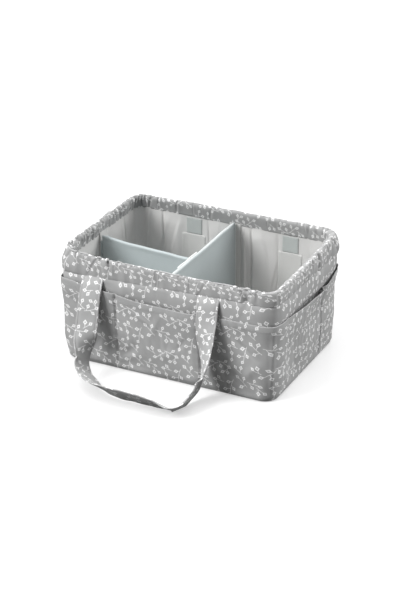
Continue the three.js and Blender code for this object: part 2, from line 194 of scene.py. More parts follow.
def growTwig(rng, length, count):
    # one bowed stem with leaves on both sides and one at its tip
    start = rng.uniform(0, 1, 2) * leafRepeat["size"]
    heading, bow = rng.uniform(0, math.tau), rng.uniform(-0.014, 0.014)
    ahead = np.array([math.cos(heading), math.sin(heading)])
    aside = np.array([-ahead[1], ahead[0]])
    leaves, side = [], rng.choice([-1, 1])
    for number in range(count):
        tip = number == count - 1
        reach = rng.uniform(*leafRepeat["reach"])
        stalk = 0.6 if tip else rng.uniform(*leafRepeat["stalk"])
        place = length if tip else length * (number + 0.55) / (count - 0.35)
        lean = rng.uniform(-0.5, 0.5) if tip else side * rng.uniform(0.6, 1.25)
        way = ahead * math.cos(lean) + aside * math.sin(lean)
        root = start + ahead * place + aside * bow * place * (length - place)
        leaves.append((root + way * (stalk + reach), heading + lean, reach,
                       reach * rng.uniform(*leafRepeat["breadth"]), stalk, rng.uniform(0.6, 1.0)))
        side = -side
    return leaves, (start + ahead * length / 2, heading, length, bow)


def layOut():
    # each twig goes where, of many tries, it keeps farthest from those before it
    rng = np.random.default_rng(leafRepeat["seed"])
    leaves, stems = [], []
    for count in leafRepeat["order"]:
        best = None
        for _ in range(70):
            fresh, stem = growTwig(rng, leafRepeat["twigs"][count], count)
            if any(repeatGap(one[0], other[0]) < leafRepeat["near"]
                   for k, one in enumerate(fresh) for other in fresh[:k]):
                continue
            room = min((repeatGap(one[0], other[0]) for one in fresh for other in leaves), default=99)
            room = min([room] + [repeatGap(one[0], other[0]) + 2.5 for one in fresh for other in stems])
            if best is None or room > best[0]:
                best = room, fresh, stem
        if best is not None and best[0] > leafRepeat["apart"]:
            leaves += best[1]
            stems.append(best[2])
    return leaves, stems


def repeatPlace(tree, entry):
    # a place measured from one mark of the repeat, turned to the mark's own heading
    wide, high = leafRepeat["size"]
    x = calc(tree, "SUBTRACT", entry["X"], entry["Across"])
    column = calc(tree, "ROUND", calc(tree, "DIVIDE", x, wide))
    x = calc(tree, "MULTIPLY_ADD", column, -wide, x)
    y = calc(tree, "MULTIPLY_ADD", column, -high / 2, calc(tree, "SUBTRACT", entry["Y"], entry["Up"]))
    y = calc(tree, "WRAP", y, high / 2, -high / 2)
    cosine, sine = entry["Cosine"], entry["Sine"]
    u = calc(tree, "ADD", calc(tree, "MULTIPLY", x, cosine), calc(tree, "MULTIPLY", y, sine))
    v = calc(tree, "SUBTRACT", calc(tree, "MULTIPLY", y, cosine), calc(tree, "MULTIPLY", x, sine))
    return u, v


def markGroup(name, *labels):
    # a group that draws one mark of the repeat, with the labels that place it and its own
    labels = ("X", "Y", "Across", "Up", "Cosine", "Sine") + labels
    return newGroup(name, [(label, "Float") for label in labels], "Mask")


def leafGroup():
    tree, entry, leave = markGroup("leafShape", "Reach", "Breadth", "Stalk", "Open")
    u, v = repeatPlace(tree, entry)
    side = calc(tree, "ABSOLUTE", v)
    share = calc(tree, "DIVIDE", calc(tree, "ABSOLUTE", u), entry["Reach"])
    crown = calc(tree, "SUBTRACT", 1.0, calc(tree, "POWER", share, 1.06))
    rim = calc(tree, "SUBTRACT", calc(tree, "MULTIPLY", crown, entry["Breadth"]), side)
    body = calc(tree, "MULTIPLY_ADD", rim, 3.2, 0.7, clamp=True)
    spot = calc(tree, "ADD", calc(tree, "DIVIDE", side, calc(tree, "MULTIPLY", entry["Breadth"], 0.54)),
                calc(tree, "MULTIPLY", share, 2.2))
    spot = calc(tree, "MULTIPLY", calc(tree, "MULTIPLY_ADD", spot, -2.2, 2.6, clamp=True), entry["Open"])
    body = calc(tree, "SUBTRACT", body, calc(tree, "MULTIPLY", spot, 0.8), clamp=True)
    thin = calc(tree, "MULTIPLY_ADD", side, -2.4, 0.5 + 2.4 * leafRepeat["line"], clamp=True)
    behind = calc(tree, "ADD", calc(tree, "ADD", u, entry["Reach"]), entry["Stalk"])
    thin = calc(tree, "MULTIPLY", thin, calc(tree, "MULTIPLY_ADD", behind, 2.0, 0.5, clamp=True))
    thin = calc(tree, "MULTIPLY", thin, calc(tree, "LESS_THAN", u, 0.0))
    thin = calc(tree, "MULTIPLY", thin, calc(tree, "GREATER_THAN", share, 0.8))
    feed(tree, leave["Mask"], calc(tree, "MAXIMUM", body, calc(tree, "MULTIPLY", thin, 0.85)))
    return tree


def stemGroup():
    tree, entry, leave = markGroup("stemShape", "Half", "Bow")
    u, v = repeatPlace(tree, entry)
    left = calc(tree, "SUBTRACT", entry["Half"], u)
    right = calc(tree, "ADD", entry["Half"], u)
    bowed = calc(tree, "MULTIPLY", calc(tree, "MULTIPLY", left, right), entry["Bow"])
    off = calc(tree, "ABSOLUTE", calc(tree, "SUBTRACT", v, bowed))
    line = calc(tree, "MULTIPLY_ADD", off, -2.4, 0.5 + 2.4 * leafRepeat["line"], clamp=True)
    ends = calc(tree, "MULTIPLY_ADD", calc(tree, "MINIMUM", left, right), 2.0, 0.5, clamp=True)
    feed(tree, leave["Mask"], calc(tree, "MULTIPLY", calc(tree, "MULTIPLY", line, ends), 0.85))
    return tree


def printGroup():
    tree, entry, leave = newGroup("leafPrint", [("Place", "Vector")], "Mask")
    x, y, _ = split(tree, turnAbout(
        tree, vectorCalc(tree, "MULTIPLY", entry["Place"], (1000, 1000, 0)), leafRepeat["turn"]))
    leafShape, stemShape = leafGroup(), stemGroup()
    leaves, stems = layOut()
    total = 0.0
    for (across, up), heading, reach, breadth, stalk, opened in leaves:
        total = calc(tree, "MAXIMUM", total, useGroup(
            tree, leafShape, X=x, Y=y, Across=across, Up=up, Cosine=math.cos(heading), Sine=math.sin(heading),
            Reach=reach, Breadth=breadth, Stalk=stalk, Open=opened))
    for (across, up), heading, length, bow in stems:
        total = calc(tree, "MAXIMUM", total, useGroup(
            tree, stemShape, X=x, Y=y, Across=across, Up=up, Cosine=math.cos(heading), Sine=math.sin(heading),
            Half=length / 2, Bow=bow))
    feed(tree, leave["Mask"], total)
    print("print laid out:", len(leaves), "leaves on", len(stems), "stems")
    return tree


leafPrint = printGroup()

cottonFinish = {
    "ground": (0.405, 0.407, 0.407, 1), "deep": (0.352, 0.354, 0.354, 1), "slub": (0.6, 0.6, 0.6, 1),
    # fold is the dark tone that the rim's painted shade blends towards
    "leaf": (0.90, 0.90, 0.90, 1), "fold": (0.06, 0.06, 0.06, 1), "thread": 0.0011,
    "washScale": 55.0, "slubScale": 900.0, "slubShare": 0.10, "slubRise": 0.8, "bump": (0.18, 0.00025),
}


def printedCotton():
    material, tree, shader = newMaterial("printedCotton")
    cloth = tree.nodes.new("ShaderNodeUVMap")
    cloth.uv_map = "cloth"
    place = cloth.outputs[0]
    mask = useGroup(tree, leafPrint, Place=place)
    wash = noiseValue(tree, place, cottonFinish["washScale"], 4.0)
    ground = blendColour(tree, wash, cottonFinish["deep"], cottonFinish["ground"])
    threads = calc(tree, "ADD", *(waveValue(tree, place, cottonFinish["thread"], way) for way in "XY"))
    slub = noiseValue(tree, place, cottonFinish["slubScale"], 2.0)
    flecks = calc(tree, "MULTIPLY", slub, cottonFinish["slubShare"])
    ground = blendColour(tree, flecks, ground, cottonFinish["slub"])
    folds = tree.nodes.new("ShaderNodeAttribute")  # painted shade read from the rim's own attribute, darker where the rim is drawn in and in its folds; only the gathered rim has it
    folds.attribute_name = "shade"
    colour = blendColour(tree, mask, ground, cottonFinish["leaf"])
    colour = blendColour(tree, folds.outputs["Fac"], colour, cottonFinish["fold"])
    feed(tree, shader.inputs["Base Color"], colour)
    shader.inputs["Roughness"].default_value = 0.88
    shader.inputs["Specular IOR Level"].default_value = 0.25
    shader.inputs["Sheen Weight"].default_value = 0.12
    shader.inputs["Sheen Roughness"].default_value = 0.5
    height = calc(tree, "MULTIPLY_ADD", slub, cottonFinish["slubRise"], threads)
    feed(tree, shader.inputs["Normal"], bumpFrom(tree, height, *cottonFinish["bump"]))
    return material


smoothGrain = {
    "washScale": 30.0, "fineScale": 700.0, "fleck": (0.9, 0.9, 0.9, 1), "fleckShare": 0.08, "fineRise": 1.2,
    "bump": (0.10, 0.0002), "highlightTone": (0.78, 0.79, 0.78, 1), "highlightRagged": 0.0016, "highlightStep": 900.0,
}


def softLining(name, pale, deep, roughness, period, highlightAbove=None, highlightShare=1.0):
    material, tree, shader = newMaterial(name)
    place = objectPlace(tree)
    wash = noiseValue(tree, place, smoothGrain["washScale"], 4.0, 0.6)
    fine = noiseValue(tree, place, smoothGrain["fineScale"], 2.0)
    tone = blendColour(tree, wash, deep, pale)
    flecks = calc(tree, "MULTIPLY", fine, smoothGrain["fleckShare"])
    tone = blendColour(tree, flecks, tone, smoothGrain["fleck"])
    if highlightAbove:  # a painted highlight along the top edge, above this height
        height = calc(tree, "MULTIPLY_ADD", fine, smoothGrain["highlightRagged"], split(tree, place)[2])
        above = calc(tree, "SUBTRACT", height, highlightAbove)
        edge = calc(tree, "MULTIPLY", above, smoothGrain["highlightStep"], clamp=True)
        tone = blendColour(tree, calc(tree, "MULTIPLY", edge, highlightShare), tone, smoothGrain["highlightTone"])
    feed(tree, shader.inputs["Base Color"], tone)
    shader.inputs["Roughness"].default_value = roughness
    shader.inputs["Specular IOR Level"].default_value = 0.35
    shader.inputs["Sheen Weight"].default_value = 0.1
    wavesX, wavesY, wavesZ = (waveValue(tree, place, period, way) for way in "XYZ")
    threads = calc(tree, "ADD", wavesZ, calc(tree, "ADD", wavesX, wavesY))
    height = calc(tree, "MULTIPLY_ADD", fine, smoothGrain["fineRise"], threads)
    feed(tree, shader.inputs["Normal"], bumpFrom(tree, height, *smoothGrain["bump"]))
    return material


def fuzzyTape(name, pale, deep):
    material, tree, shader = newMaterial(name)
    place = objectPlace(tree)
    loops = tree.nodes.new("ShaderNodeTexVoronoi")
    feed(tree, loops.inputs["Vector"], place)
    loops.inputs["Scale"].default_value = 900.0
    fuzz = noiseValue(tree, place, 1500.0, 3.0)
    feed(tree, shader.inputs["Base Color"], blendColour(tree, fuzz, deep, pale))
    shader.inputs["Roughness"].default_value = 0.95
    shader.inputs["Sheen Weight"].default_value = 0.3
    feed(tree, shader.inputs["Normal"],
         bumpFrom(tree, calc(tree, "ADD", loops.outputs["Distance"], fuzz), 0.5, 0.0005))
    return material


def paleFoam(pale, deep):
    material, tree, shader = newMaterial("paleFoam")
    place = objectPlace(tree)
    cells = noiseValue(tree, place, 1200.0, 2.0)
    feed(tree, shader.inputs["Base Color"], blendColour(tree, cells, deep, pale))
    shader.inputs["Roughness"].default_value = 0.9
    feed(tree, shader.inputs["Normal"], bumpFrom(tree, cells, 0.4, 0.0004))
    return material


def ribbedElastic(pale, deep):
    material, tree, shader = newMaterial("ribbedElastic")
    place = objectPlace(tree)
    ribs = waveValue(tree, place, 0.0016, "DIAGONAL")
    feed(tree, shader.inputs["Base Color"], blendColour(tree, ribs, deep, pale))
    shader.inputs["Roughness"].default_value = 0.8
    feed(tree, shader.inputs["Normal"], bumpFrom(tree, ribs, 0.4, 0.0004))
    return material


def sewingThread(name, pale, deep):
    material, tree, shader = newMaterial(name)
    place = objectPlace(tree)
    twist = waveValue(tree, place, 0.0007, "DIAGONAL")
    feed(tree, shader.inputs["Base Color"], blendColour(tree, twist, deep, pale))
    shader.inputs["Roughness"].default_value = 0.6
    shader.inputs["Sheen Weight"].default_value = 0.2
    feed(tree, shader.inputs["Normal"], bumpFrom(tree, twist, 0.3, 0.0001))
    return material


liningFinish = {
    "pale": (0.56, 0.557, 0.548, 1), "deep": (0.503, 0.500, 0.492, 1), "roughness": 0.50, "period": 0.0008,
}
dividerFinish = {
    "pale": (0.39, 0.440, 0.446, 1), "deep": (0.345, 0.392, 0.398, 1), "roughness": 0.42, "period": 0.0009,
}
patchFinish = {
    "pale": (0.40, 0.428, 0.419, 1), "deep": (0.365, 0.393, 0.384, 1), "roughness": 0.7, "period": 0.0009,
}

cotton = printedCotton()
liningCloth = softLining("liningCloth", **liningFinish)
dividerCloth = softLining("dividerCloth", **dividerFinish)
patchCloth = softLining("patchCloth", **patchFinish)
loopTape = fuzzyTape("loopTape", (0.52, 0.521, 0.51, 1), (0.474, 0.476, 0.465, 1))
# the flap and the main divider get a painted highlight along their top edges
flapCloth = softLining("flapCloth", **dividerFinish, highlightAbove=0.1768)
mainCloth = softLining("mainCloth", **dividerFinish, highlightAbove=0.1775, highlightShare=0.4)
hookTape = fuzzyTape("hookTape", (0.66, 0.69, 0.68, 1), (0.52, 0.55, 0.55, 1))
foam = paleFoam((0.75, 0.74, 0.71, 1), (0.62, 0.61, 0.58, 1))
elastic = ribbedElastic((0.86, 0.86, 0.85, 1), (0.7, 0.7, 0.69, 1))
greyThread = sewingThread("greyThread", (0.47, 0.47, 0.47, 1), (0.33, 0.33, 0.33, 1))
paleThread = sewingThread("paleThread", (0.49, 0.505, 0.50, 1), (0.41, 0.425, 0.42, 1))
print("materials made")

# the basket's plan: a rounded rectangle walked from the middle of the back to the left, round and back
plan = {"length": 0.364, "width": 0.248, "corner": 0.022}
sideX, sideY = plan["length"] / 2 - plan["corner"], plan["width"] / 2 - plan["corner"]
quarter = math.pi / 2 * plan["corner"]
perimeter = 4 * (sideX + sideY + quarter)
planRuns = [  # length, start or centre, heading or first angle
    (sideX, (0, plan["width"] / 2), (-1, 0)), (quarter, (-sideX, sideY), 90),
    (2 * sideY, (-plan["length"] / 2, sideY), (0, -1)), (quarter, (-sideX, -sideY), 180),
    (2 * sideX, (-sideX, -plan["width"] / 2), (1, 0)), (quarter, (sideX, -sideY), 270),
    (2 * sideY, (plan["length"] / 2, -sideY), (0, 1)), (quarter, (sideX, sideY), 0),
    (sideX, (sideX, plan["width"] / 2), (-1, 0)),
]
cornerMiddles = [sideX + quarter / 2, sideX + 1.5 * quarter + 2 * sideY,
                 perimeter - sideX - 1.5 * quarter - 2 * sideY, perimeter - sideX - quarter / 2]


def outline(along, out):
    along, out = np.broadcast_arrays(np.asarray(along, float) % perimeter, out)
    x, y = np.zeros(along.shape), np.zeros(along.shape)
    begin = 0.0
    for length, start, heading in planRuns:
        here = (along >= begin - 1e-9) & (along <= begin + length + 1e-9)
        step = along[here] - begin
        if isinstance(heading, tuple):
            normal = (heading[1], -heading[0])
            x[here] = start[0] + heading[0] * step + normal[0] * out[here]
            y[here] = start[1] + heading[1] * step + normal[1] * out[here]
        else:
            angle = math.radians(heading) + step / plan["corner"]
            x[here] = start[0] + np.cos(angle) * (plan["corner"] + out[here])
            y[here] = start[1] + np.sin(angle) * (plan["corner"] + out[here])
        begin += length
    return x, y


def atFront(x):
    return perimeter / 2 + x


def atBack(x):
    return -x % perimeter


def atRight(y):
    return perimeter / 2 + sideX + quarter + sideY + y


def atLeft(y):
    return sideX + quarter + sideY - y


def ringSteps(count):
    return np.arange(count) * perimeter / count


def ringCurve(front=(), right=(), back=(), left=(), soften=0.014):
    # a smooth closed curve round the basket, through values given at millimetres from the middle of each wall
    walls = (atFront, front), (atRight, right), (atBack, back), (atLeft, left)
    points = [(at(place / 1000), value) for at, wall in walls for place, value in wall]
    count = 1600
    grid = ringSteps(count)
    places, values = np.array(sorted(points)).T
    values = np.interp(grid, places, values, period=perimeter)
    waves = np.fft.rfftfreq(count, perimeter / count)
    values = np.fft.irfft(np.fft.rfft(values) * np.exp(-2 * (math.pi * waves * soften) ** 2), count)
    return lambda along: np.interp(along, grid, values, period=perimeter)


def ripples(along, up, seed, count, spans, lean, deep=1.0):
    # seeded waves that close on themselves round the basket; spans are their shortest and longest length
    rng = np.random.default_rng(seed)
    total = 0.0
    for _ in range(count):
        turns = round(perimeter / rng.uniform(*spans))
        total = total + rng.uniform(0.5, 1.0) * np.sin(
            math.tau * (turns * along / perimeter + rng.uniform(-lean, lean) * up + rng.random()))
    return total / math.sqrt(count) * deep


def ringWay(along, place):
    # from a place, the shorter way round
    return (along - place + perimeter / 2) % perimeter - perimeter / 2


def nearest(along, places):
    return np.min([np.abs(ringWay(along, place)) for place in places], axis=0)


def ringChart(along, up, fullness=1.0):
    # flat measure of a cloth that goes right round, with a last column that closes it
    wide = np.append(along, perimeter)[:, None] * fullness
    return np.stack(np.broadcast_arrays(wide, up), -1)


def smooth(value):
    value = np.clip(value, 0, 1)
    return value * value * (3 - 2 * value)


def throughPoints(points, share):
    # an even curve through points, spaced by the distance between them
    points = np.asarray(points, float)
    gaps = np.sqrt(np.linalg.norm(np.diff(points[:, :3], axis=0), axis=1))
    knots = np.concatenate([[0], np.cumsum(gaps)])
    slope = np.gradient(points, knots, axis=0)
    where = np.clip(np.asarray(share, float), 0, 1) * knots[-1]
    i = np.clip(np.searchsorted(knots, where, side="right") - 1, 0, len(points) - 2)
    span = (knots[i + 1] - knots[i])[:, None]
    t = ((where - knots[i]) / span[:, 0])[:, None]
    return (points[i] * (2 * t ** 3 - 3 * t ** 2 + 1) + slope[i] * span * (t ** 3 - 2 * t ** 2 + t)
            + points[i + 1] * (-2 * t ** 3 + 3 * t ** 2) + slope[i + 1] * span * (t ** 3 - t ** 2))


def sewSheet(name, points, chart, material, loopAlong=False, loopAcross=False, flip=False):
    # a mesh from rows of points; chart holds the cloth's own flat measure at each point, in metres
    rows, across = points.shape[:2]
    lastRow, lastAcross = rows if loopAlong else rows - 1, across if loopAcross else across - 1
    i, j = np.meshgrid(np.arange(lastRow), np.arange(lastAcross), indexing="ij")
    corners = np.stack([np.stack([i, j], -1), np.stack([i + 1, j], -1),
                        np.stack([i + 1, j + 1], -1), np.stack([i, j + 1], -1)], 2)
    if flip:
        corners = corners[:, :, ::-1]
    faces = (corners[..., 0] % rows) * across + corners[..., 1] % across
    mesh = bpy.data.meshes.new(name)
    mesh.from_pydata(points.reshape(-1, 3).tolist(), [], faces.reshape(-1, 4).tolist())
    layer = mesh.uv_layers.new(name="cloth")
    layer.data.foreach_set("uv", chart[corners[..., 0], corners[..., 1]].reshape(-1).astype(np.float32))
    piece = bpy.data.objects.new(name, mesh)
    scene.collection.objects.link(piece)
    mesh.materials.append(material)
    mesh.polygons.foreach_set("use_smooth", np.ones(len(mesh.polygons), bool))
    mesh.update()
    return piece


def pick(piece):
    bpy.ops.object.select_all(action="DESELECT")
    piece.select_set(True)
    bpy.context.view_layer.objects.active = piece


def editAll(piece):
    pick(piece)
    bpy.ops.object.mode_set(mode="EDIT")
    bpy.ops.mesh.select_all(action="SELECT")


def thicken(piece, thickness):
    pick(piece)
    solid = piece.modifiers.new("thickness", "SOLIDIFY")
    solid.thickness, solid.offset, solid.use_even_offset = thickness, -1.0, False
    bpy.ops.object.modifier_apply(modifier=solid.name)


def weld(piece, gap=0.00005):
    editAll(piece)
    bpy.ops.mesh.remove_doubles(threshold=gap)
    bpy.ops.mesh.normals_make_consistent(inside=False)
    bpy.ops.object.mode_set(mode="OBJECT")


stitchSize = {"length": 0.0030, "gap": 0.0016, "thick": 0.00055, "rise": 0.00018, "sides": 6}


def stitchRow(name, path, normals, material, closed=False):
    # short low-sided thread stitches laid along a line on the cloth
    path, normals = np.asarray(path, float), np.asarray(normals, float)
    if closed:
        path, normals = np.vstack([path, path[:1]]), np.vstack([normals, normals[:1]])
    reach = np.concatenate([[0], np.cumsum(np.linalg.norm(np.diff(path, axis=0), axis=1))])
    pitch = stitchSize["length"] + stitchSize["gap"]
    count = int(reach[-1] // pitch)
    starts = (np.arange(count) + 0.2) * reach[-1] / count
    shares = np.array([0.0, 0.18, 0.5, 0.82, 1.0])
    spots = starts[:, None] + shares * stitchSize["length"]
    pull = np.stack([np.interp(spots, reach, path[:, k]) for k in range(3)], -1)
    up = np.stack([np.interp(spots, reach, normals[:, k]) for k in range(3)], -1)
    up /= np.linalg.norm(up, axis=-1, keepdims=True)
    ahead = pull[:, -1:] - pull[:, :1]
    ahead = ahead / np.linalg.norm(ahead, axis=-1, keepdims=True)
    side = np.cross(ahead, up)
    side /= np.linalg.norm(side, axis=-1, keepdims=True)
    fat = np.array([0.35, 0.9, 1.0, 0.9, 0.35]) * stitchSize["thick"] / 2
    lift = np.array([-0.6, 0.4, 1.0, 0.4, -0.6]) * stitchSize["rise"]
    sides, rings = stitchSize["sides"], len(shares)
    angles = np.arange(sides) * math.tau / sides
    ring = (np.cos(angles)[None, None, :, None] * side[:, :, None] +
            np.sin(angles)[None, None, :, None] * up[:, :, None])
    verts = (pull + up * lift[None, :, None])[:, :, None] + ring * fat[None, :, None, None]
    faces = []
    for k in range(rings - 1):
        for a in range(sides):
            b = (a + 1) % sides
            faces.append((k * sides + a, k * sides + b, (k + 1) * sides + b, (k + 1) * sides + a))
    caps = [tuple(range(sides - 1, -1, -1)), tuple(range((rings - 1) * sides, rings * sides))]
    allFaces = []
    for n in range(count):
        allFaces += [tuple(v + n * rings * sides for v in face) for face in faces + caps]
    mesh = bpy.data.meshes.new(name)
    mesh.from_pydata(verts.reshape(-1, 3).tolist(), [], allFaces)
    mesh.polygons.foreach_set("use_smooth", np.ones(len(mesh.polygons), bool))
    mesh.materials.append(material)
    piece = bpy.data.objects.new(name, mesh)
    scene.collection.objects.link(piece)
    weld(piece, 0.000001)
    return piece


# heights round the basket, read from the front and right and carried on round the unseen sides
hemHeight = ringCurve(
    front=[(-160, 0.154), (0, 0.160), (150, 0.166)], right=[(-80, 0.165), (80, 0.161)],
    back=[(150, 0.158), (0, 0.160), (-150, 0.163)], left=[(80, 0.161), (-80, 0.156)])
crestHeight = ringCurve(
    front=[(-160, 0.1900), (-50, 0.1872), (50, 0.1868), (160, 0.1890)], right=[(0, 0.1900), (90, 0.1935)],
    back=[(150, 0.1965), (80, 0.1975), (-60, 0.1975), (-130, 0.1955), (-170, 0.1945)],
    left=[(40, 0.1965), (-80, 0.1945)])
mouthHeight = ringCurve(
    front=[(-165, 0.144), (-144, 0.141), (-91, 0.1355), (-29, 0.1297), (19, 0.1295), (45, 0.130),
           (98, 0.132), (160, 0.1340)],
    right=[(-90, 0.134), (-52, 0.1325), (3, 0.129), (36, 0.126), (52, 0.1245), (93, 0.130)],
    back=[(160, 0.136), (90, 0.133), (30, 0.1298), (-45, 0.130), (-98, 0.132), (-160, 0.137)],
    left=[(90, 0.138), (0, 0.130), (-52, 0.128), (-90, 0.138)], soften=0.008)
pocketSeams = [atFront(-0.084), atFront(0.062), atRight(0.052), atBack(0.084), atBack(-0.062), atLeft(-0.052)]
endSwell = ringCurve(  # the short walls stand out further, in millimetres
    front=[(-140, 0.0), (-100, 0.0), (100, 0.0), (150, 0.2), (-172, -2.6)], right=[(-80, 1.0), (80, 1.2)],
    back=[(150, 0.6), (100, 0.0), (-100, 0.0), (-150, 0.4)], left=[(80, 0.4), (-60, -0.8)])
wallFlare = (np.array([0, 0.02, 0.06, 0.10, 0.125, 0.14, 0.15, 0.165, 0.2]),
             np.array([0.2, 0.7, 2.6, 5.0, 7.0, 7.4, 7.1, 6.4, 6.2]) / 1000)
cornerSquare = {"cover": (0.24, 0.028), "pocket": (0.48, 0.031), "rim": (0.14, 0.028)}  # share, corner radius


def cornerShape(along, piece):
    # a share of how far a sharp corner would stand out from a round one
    share, radius = cornerSquare[piece]
    turn = nearest(along, cornerMiddles) / plan["corner"]
    turn = np.clip(np.sqrt(turn ** 2 + 0.012), 0, math.pi / 4)
    return share * (radius * (1 / np.cos(math.pi / 4 - turn) - 1))


mouthOpen = ringCurve(  # how far a pocket's mouth stands off the cover, in millimetres
    front=[(-165, 0.9), (-130, 2.4), (-50, 3.2), (20, 3.2), (80, 1.6), (140, 0.7)],
    right=[(-100, 0.7), (-50, 4.0), (0, 7.0), (38, 9.0), (65, 4.0), (90, 2.6)],
    back=[(160, 1.0), (120, 2.4), (0, 3.4), (-120, 2.6)],
    left=[(60, 4.0), (0, 4.0), (-80, 1.2)], soften=0.008)
pleatRate = ringCurve(  # pleats to the metre
    front=[(-150, 70), (-80, 45), (0, 40), (100, 40), (160, 60)], right=[(-80, 85), (0, 70), (90, 110)],
    back=[(160, 110), (80, 46), (-60, 46), (-130, 90), (-160, 170)], left=[(80, 190), (-80, 190)])
pleatDepth = ringCurve(  # in millimetres
    front=[(-160, 1.2), (-80, 0.8), (0, 0.6), (100, 0.7), (160, 1.0)], right=[(-60, 1.2), (80, 1.5)],
    back=[(160, 1.5), (80, 0.8), (-60, 0.8), (-160, 2.4)], left=[(80, 3.0), (-80, 3.0)])
pleatSeed = 61


def layPleats():
    # sharp single folds, closer together where the rate is higher
    # place, width, depth, lean, share that it begins at, softer side
    rng = np.random.default_rng(pleatSeed)
    folds, place = [], 0.0
    while place < perimeter - 0.004:
        depth = float(pleatDepth(place)) / 1000 * rng.uniform(0.35, 1.25)
        wide, lean = rng.uniform(0.0010, 0.0024), rng.normal(0, 0.016)
        folds.append((place, wide, depth, lean, rng.uniform(-0.3, 0.40), rng.choice([-1, 1])))
        place += (0.45 + 1.1 * rng.random()) / float(pleatRate(place))
    return folds + [
        (atFront(-0.096), 0.0020, 0.0030, -0.018, 0.16, 1),
        (atFront(-0.012), 0.0010, 0.0009, 0.002, -0.05, 1),
        (atFront(0.043), 0.0010, 0.0008, -0.002, 0.0, -1),
        (atFront(0.130), 0.0040, 0.0038, -0.022, -0.30, 1),
        (atFront(0.148), 0.0050, 0.0018, 0.016, -0.35, -1)]


pleats = layPleats()


def pleatField(along, share, long=False):
    # depth of all the folds, or of the long ones that run down on to the cover
    field = np.zeros(np.broadcast_shapes(along.shape, share.shape))
    for place, wide, depth, lean, stop, side in pleats:
        if long and stop > -0.05:
            continue
        gap = ringWay(along, place + lean * (share - 0.45)) / wide
        fold = -np.exp(-gap ** 2) + 0.45 * np.exp(-((gap * side - 2.2) / 1.8) ** 2)
        if wide > 0.003:
            fold = fold * smooth((0.52 - share) / 0.14)  # the broad folds end below the crest
        field += depth * fold * (np.exp(-(share / 0.5) ** 2) if long else smooth((share - stop) / 0.22))
    return field


wallWaist = ringCurve(  # how far the pockets are drawn in half-way up, in millimetres
    front=[(-130, 0.0), (160, 0.0)], right=[(-60, 1.0), (30, 2.5), (90, 5.5)],
    back=[(160, 5.0), (100, 1.0), (-100, 0.0)], left=[(0, 0.0)])


def wallOut(along, z):
    # how far the wall stands out from the base plan
    swell = endSwell(along) / 1000 * smooth((z - 0.02) / 0.09)
    return np.interp(z, *wallFlare) + swell - wallWaist(along) / 1000 * np.exp(-((z - 0.102) / 0.034) ** 2)


cover = {
    "steps": 640, "rows": 34, "bottom": 0.003, "tuck": 0.003, "fabric": 0.0010, "flat": 0.160,
    "gathers": {"seed": 21, "count": 7, "spans": (0.012, 0.034), "lean": 6.0, "deep": 0.0006},
    "waves": {"seed": 22, "count": 5, "spans": (0.05, 0.16), "lean": 5.0, "deep": 0.0009},
}


def coverOut(along, z):
    # how far the soft cover stands out from the base plan
    below = hemHeight(along) - z
    flare = wallOut(along, z)
    puffed = 0.0007 * np.exp(-((below - 0.013) / 0.011) ** 2) - 0.0010 * np.exp(-(below / 0.0020) ** 2)
    gathers = ripples(along, below, **cover["gathers"]) * np.exp(-np.clip(below, 0, 1) / 0.014)
    waves = ripples(along, below, **cover["waves"]) * smooth(below / 0.01)
    folds = pleatField(along, -np.clip(below, 0, 1) / 0.05, True) * 0.5
    behind = smooth((mouthHeight(along) + 0.002 - z) / 0.007)  # behind the pockets it sinks in
    sunk = (mouthOpen(along) * 0.5 + 0.3) / 1000 * behind * smooth(z / 0.03)
    square = cornerShape(along, "cover") * smooth(z / 0.05)
    return np.maximum(flare + puffed + gathers + waves + folds + square - sunk, 0.0002)


def makeCover():
    along = ringSteps(cover["steps"])
    hem = hemHeight(along)[:, None]
    share = np.linspace(0, 1, cover["rows"])[None, :] ** 0.6
    z = cover["bottom"] + (hem + cover["tuck"] - cover["bottom"]) * share
    out = coverOut(along[:, None], z) - 0.002 * smooth((z - hem) / 0.002)
    x, y = outline(along[:, None], out)
    chart = ringChart(along, np.vstack([z, z[:1]]))
    piece = sewSheet("bodyCover", np.stack([x, y, z], -1), chart, cotton, loopAlong=True)
    thicken(piece, cover["fabric"])
    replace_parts(piece, "front_panel", "right_panel", "back_panel", "left_panel")
    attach(piece, "basket")
    return piece


bodyCover = makeCover()
print("cover made")

casing = {
    "steps": 1240, "rows": 40, "gather": 1.18, "fabric": 0.0012, "innerHem": 0.1725, "seat": 0.0068,
    "drawnShade": 0.17, "foldShade": 0.20, "fineDepth": 0.0005,
    "fine": {"seed": 33, "count": 6, "spans": (0.008, 0.016), "lean": 0.6},
    "swell": {"seed": 35, "count": 5, "spans": (0.05, 0.2), "lean": 1.0, "deep": 0.0006},
    "crest": {"seed": 36, "count": 6, "spans": (0.02, 0.10), "lean": 0.0, "deep": 0.0006},
    "quiet": (atFront(0.005), atBack(0.005), atLeft(0.0)),  # flat where a divider's tape meets it
}
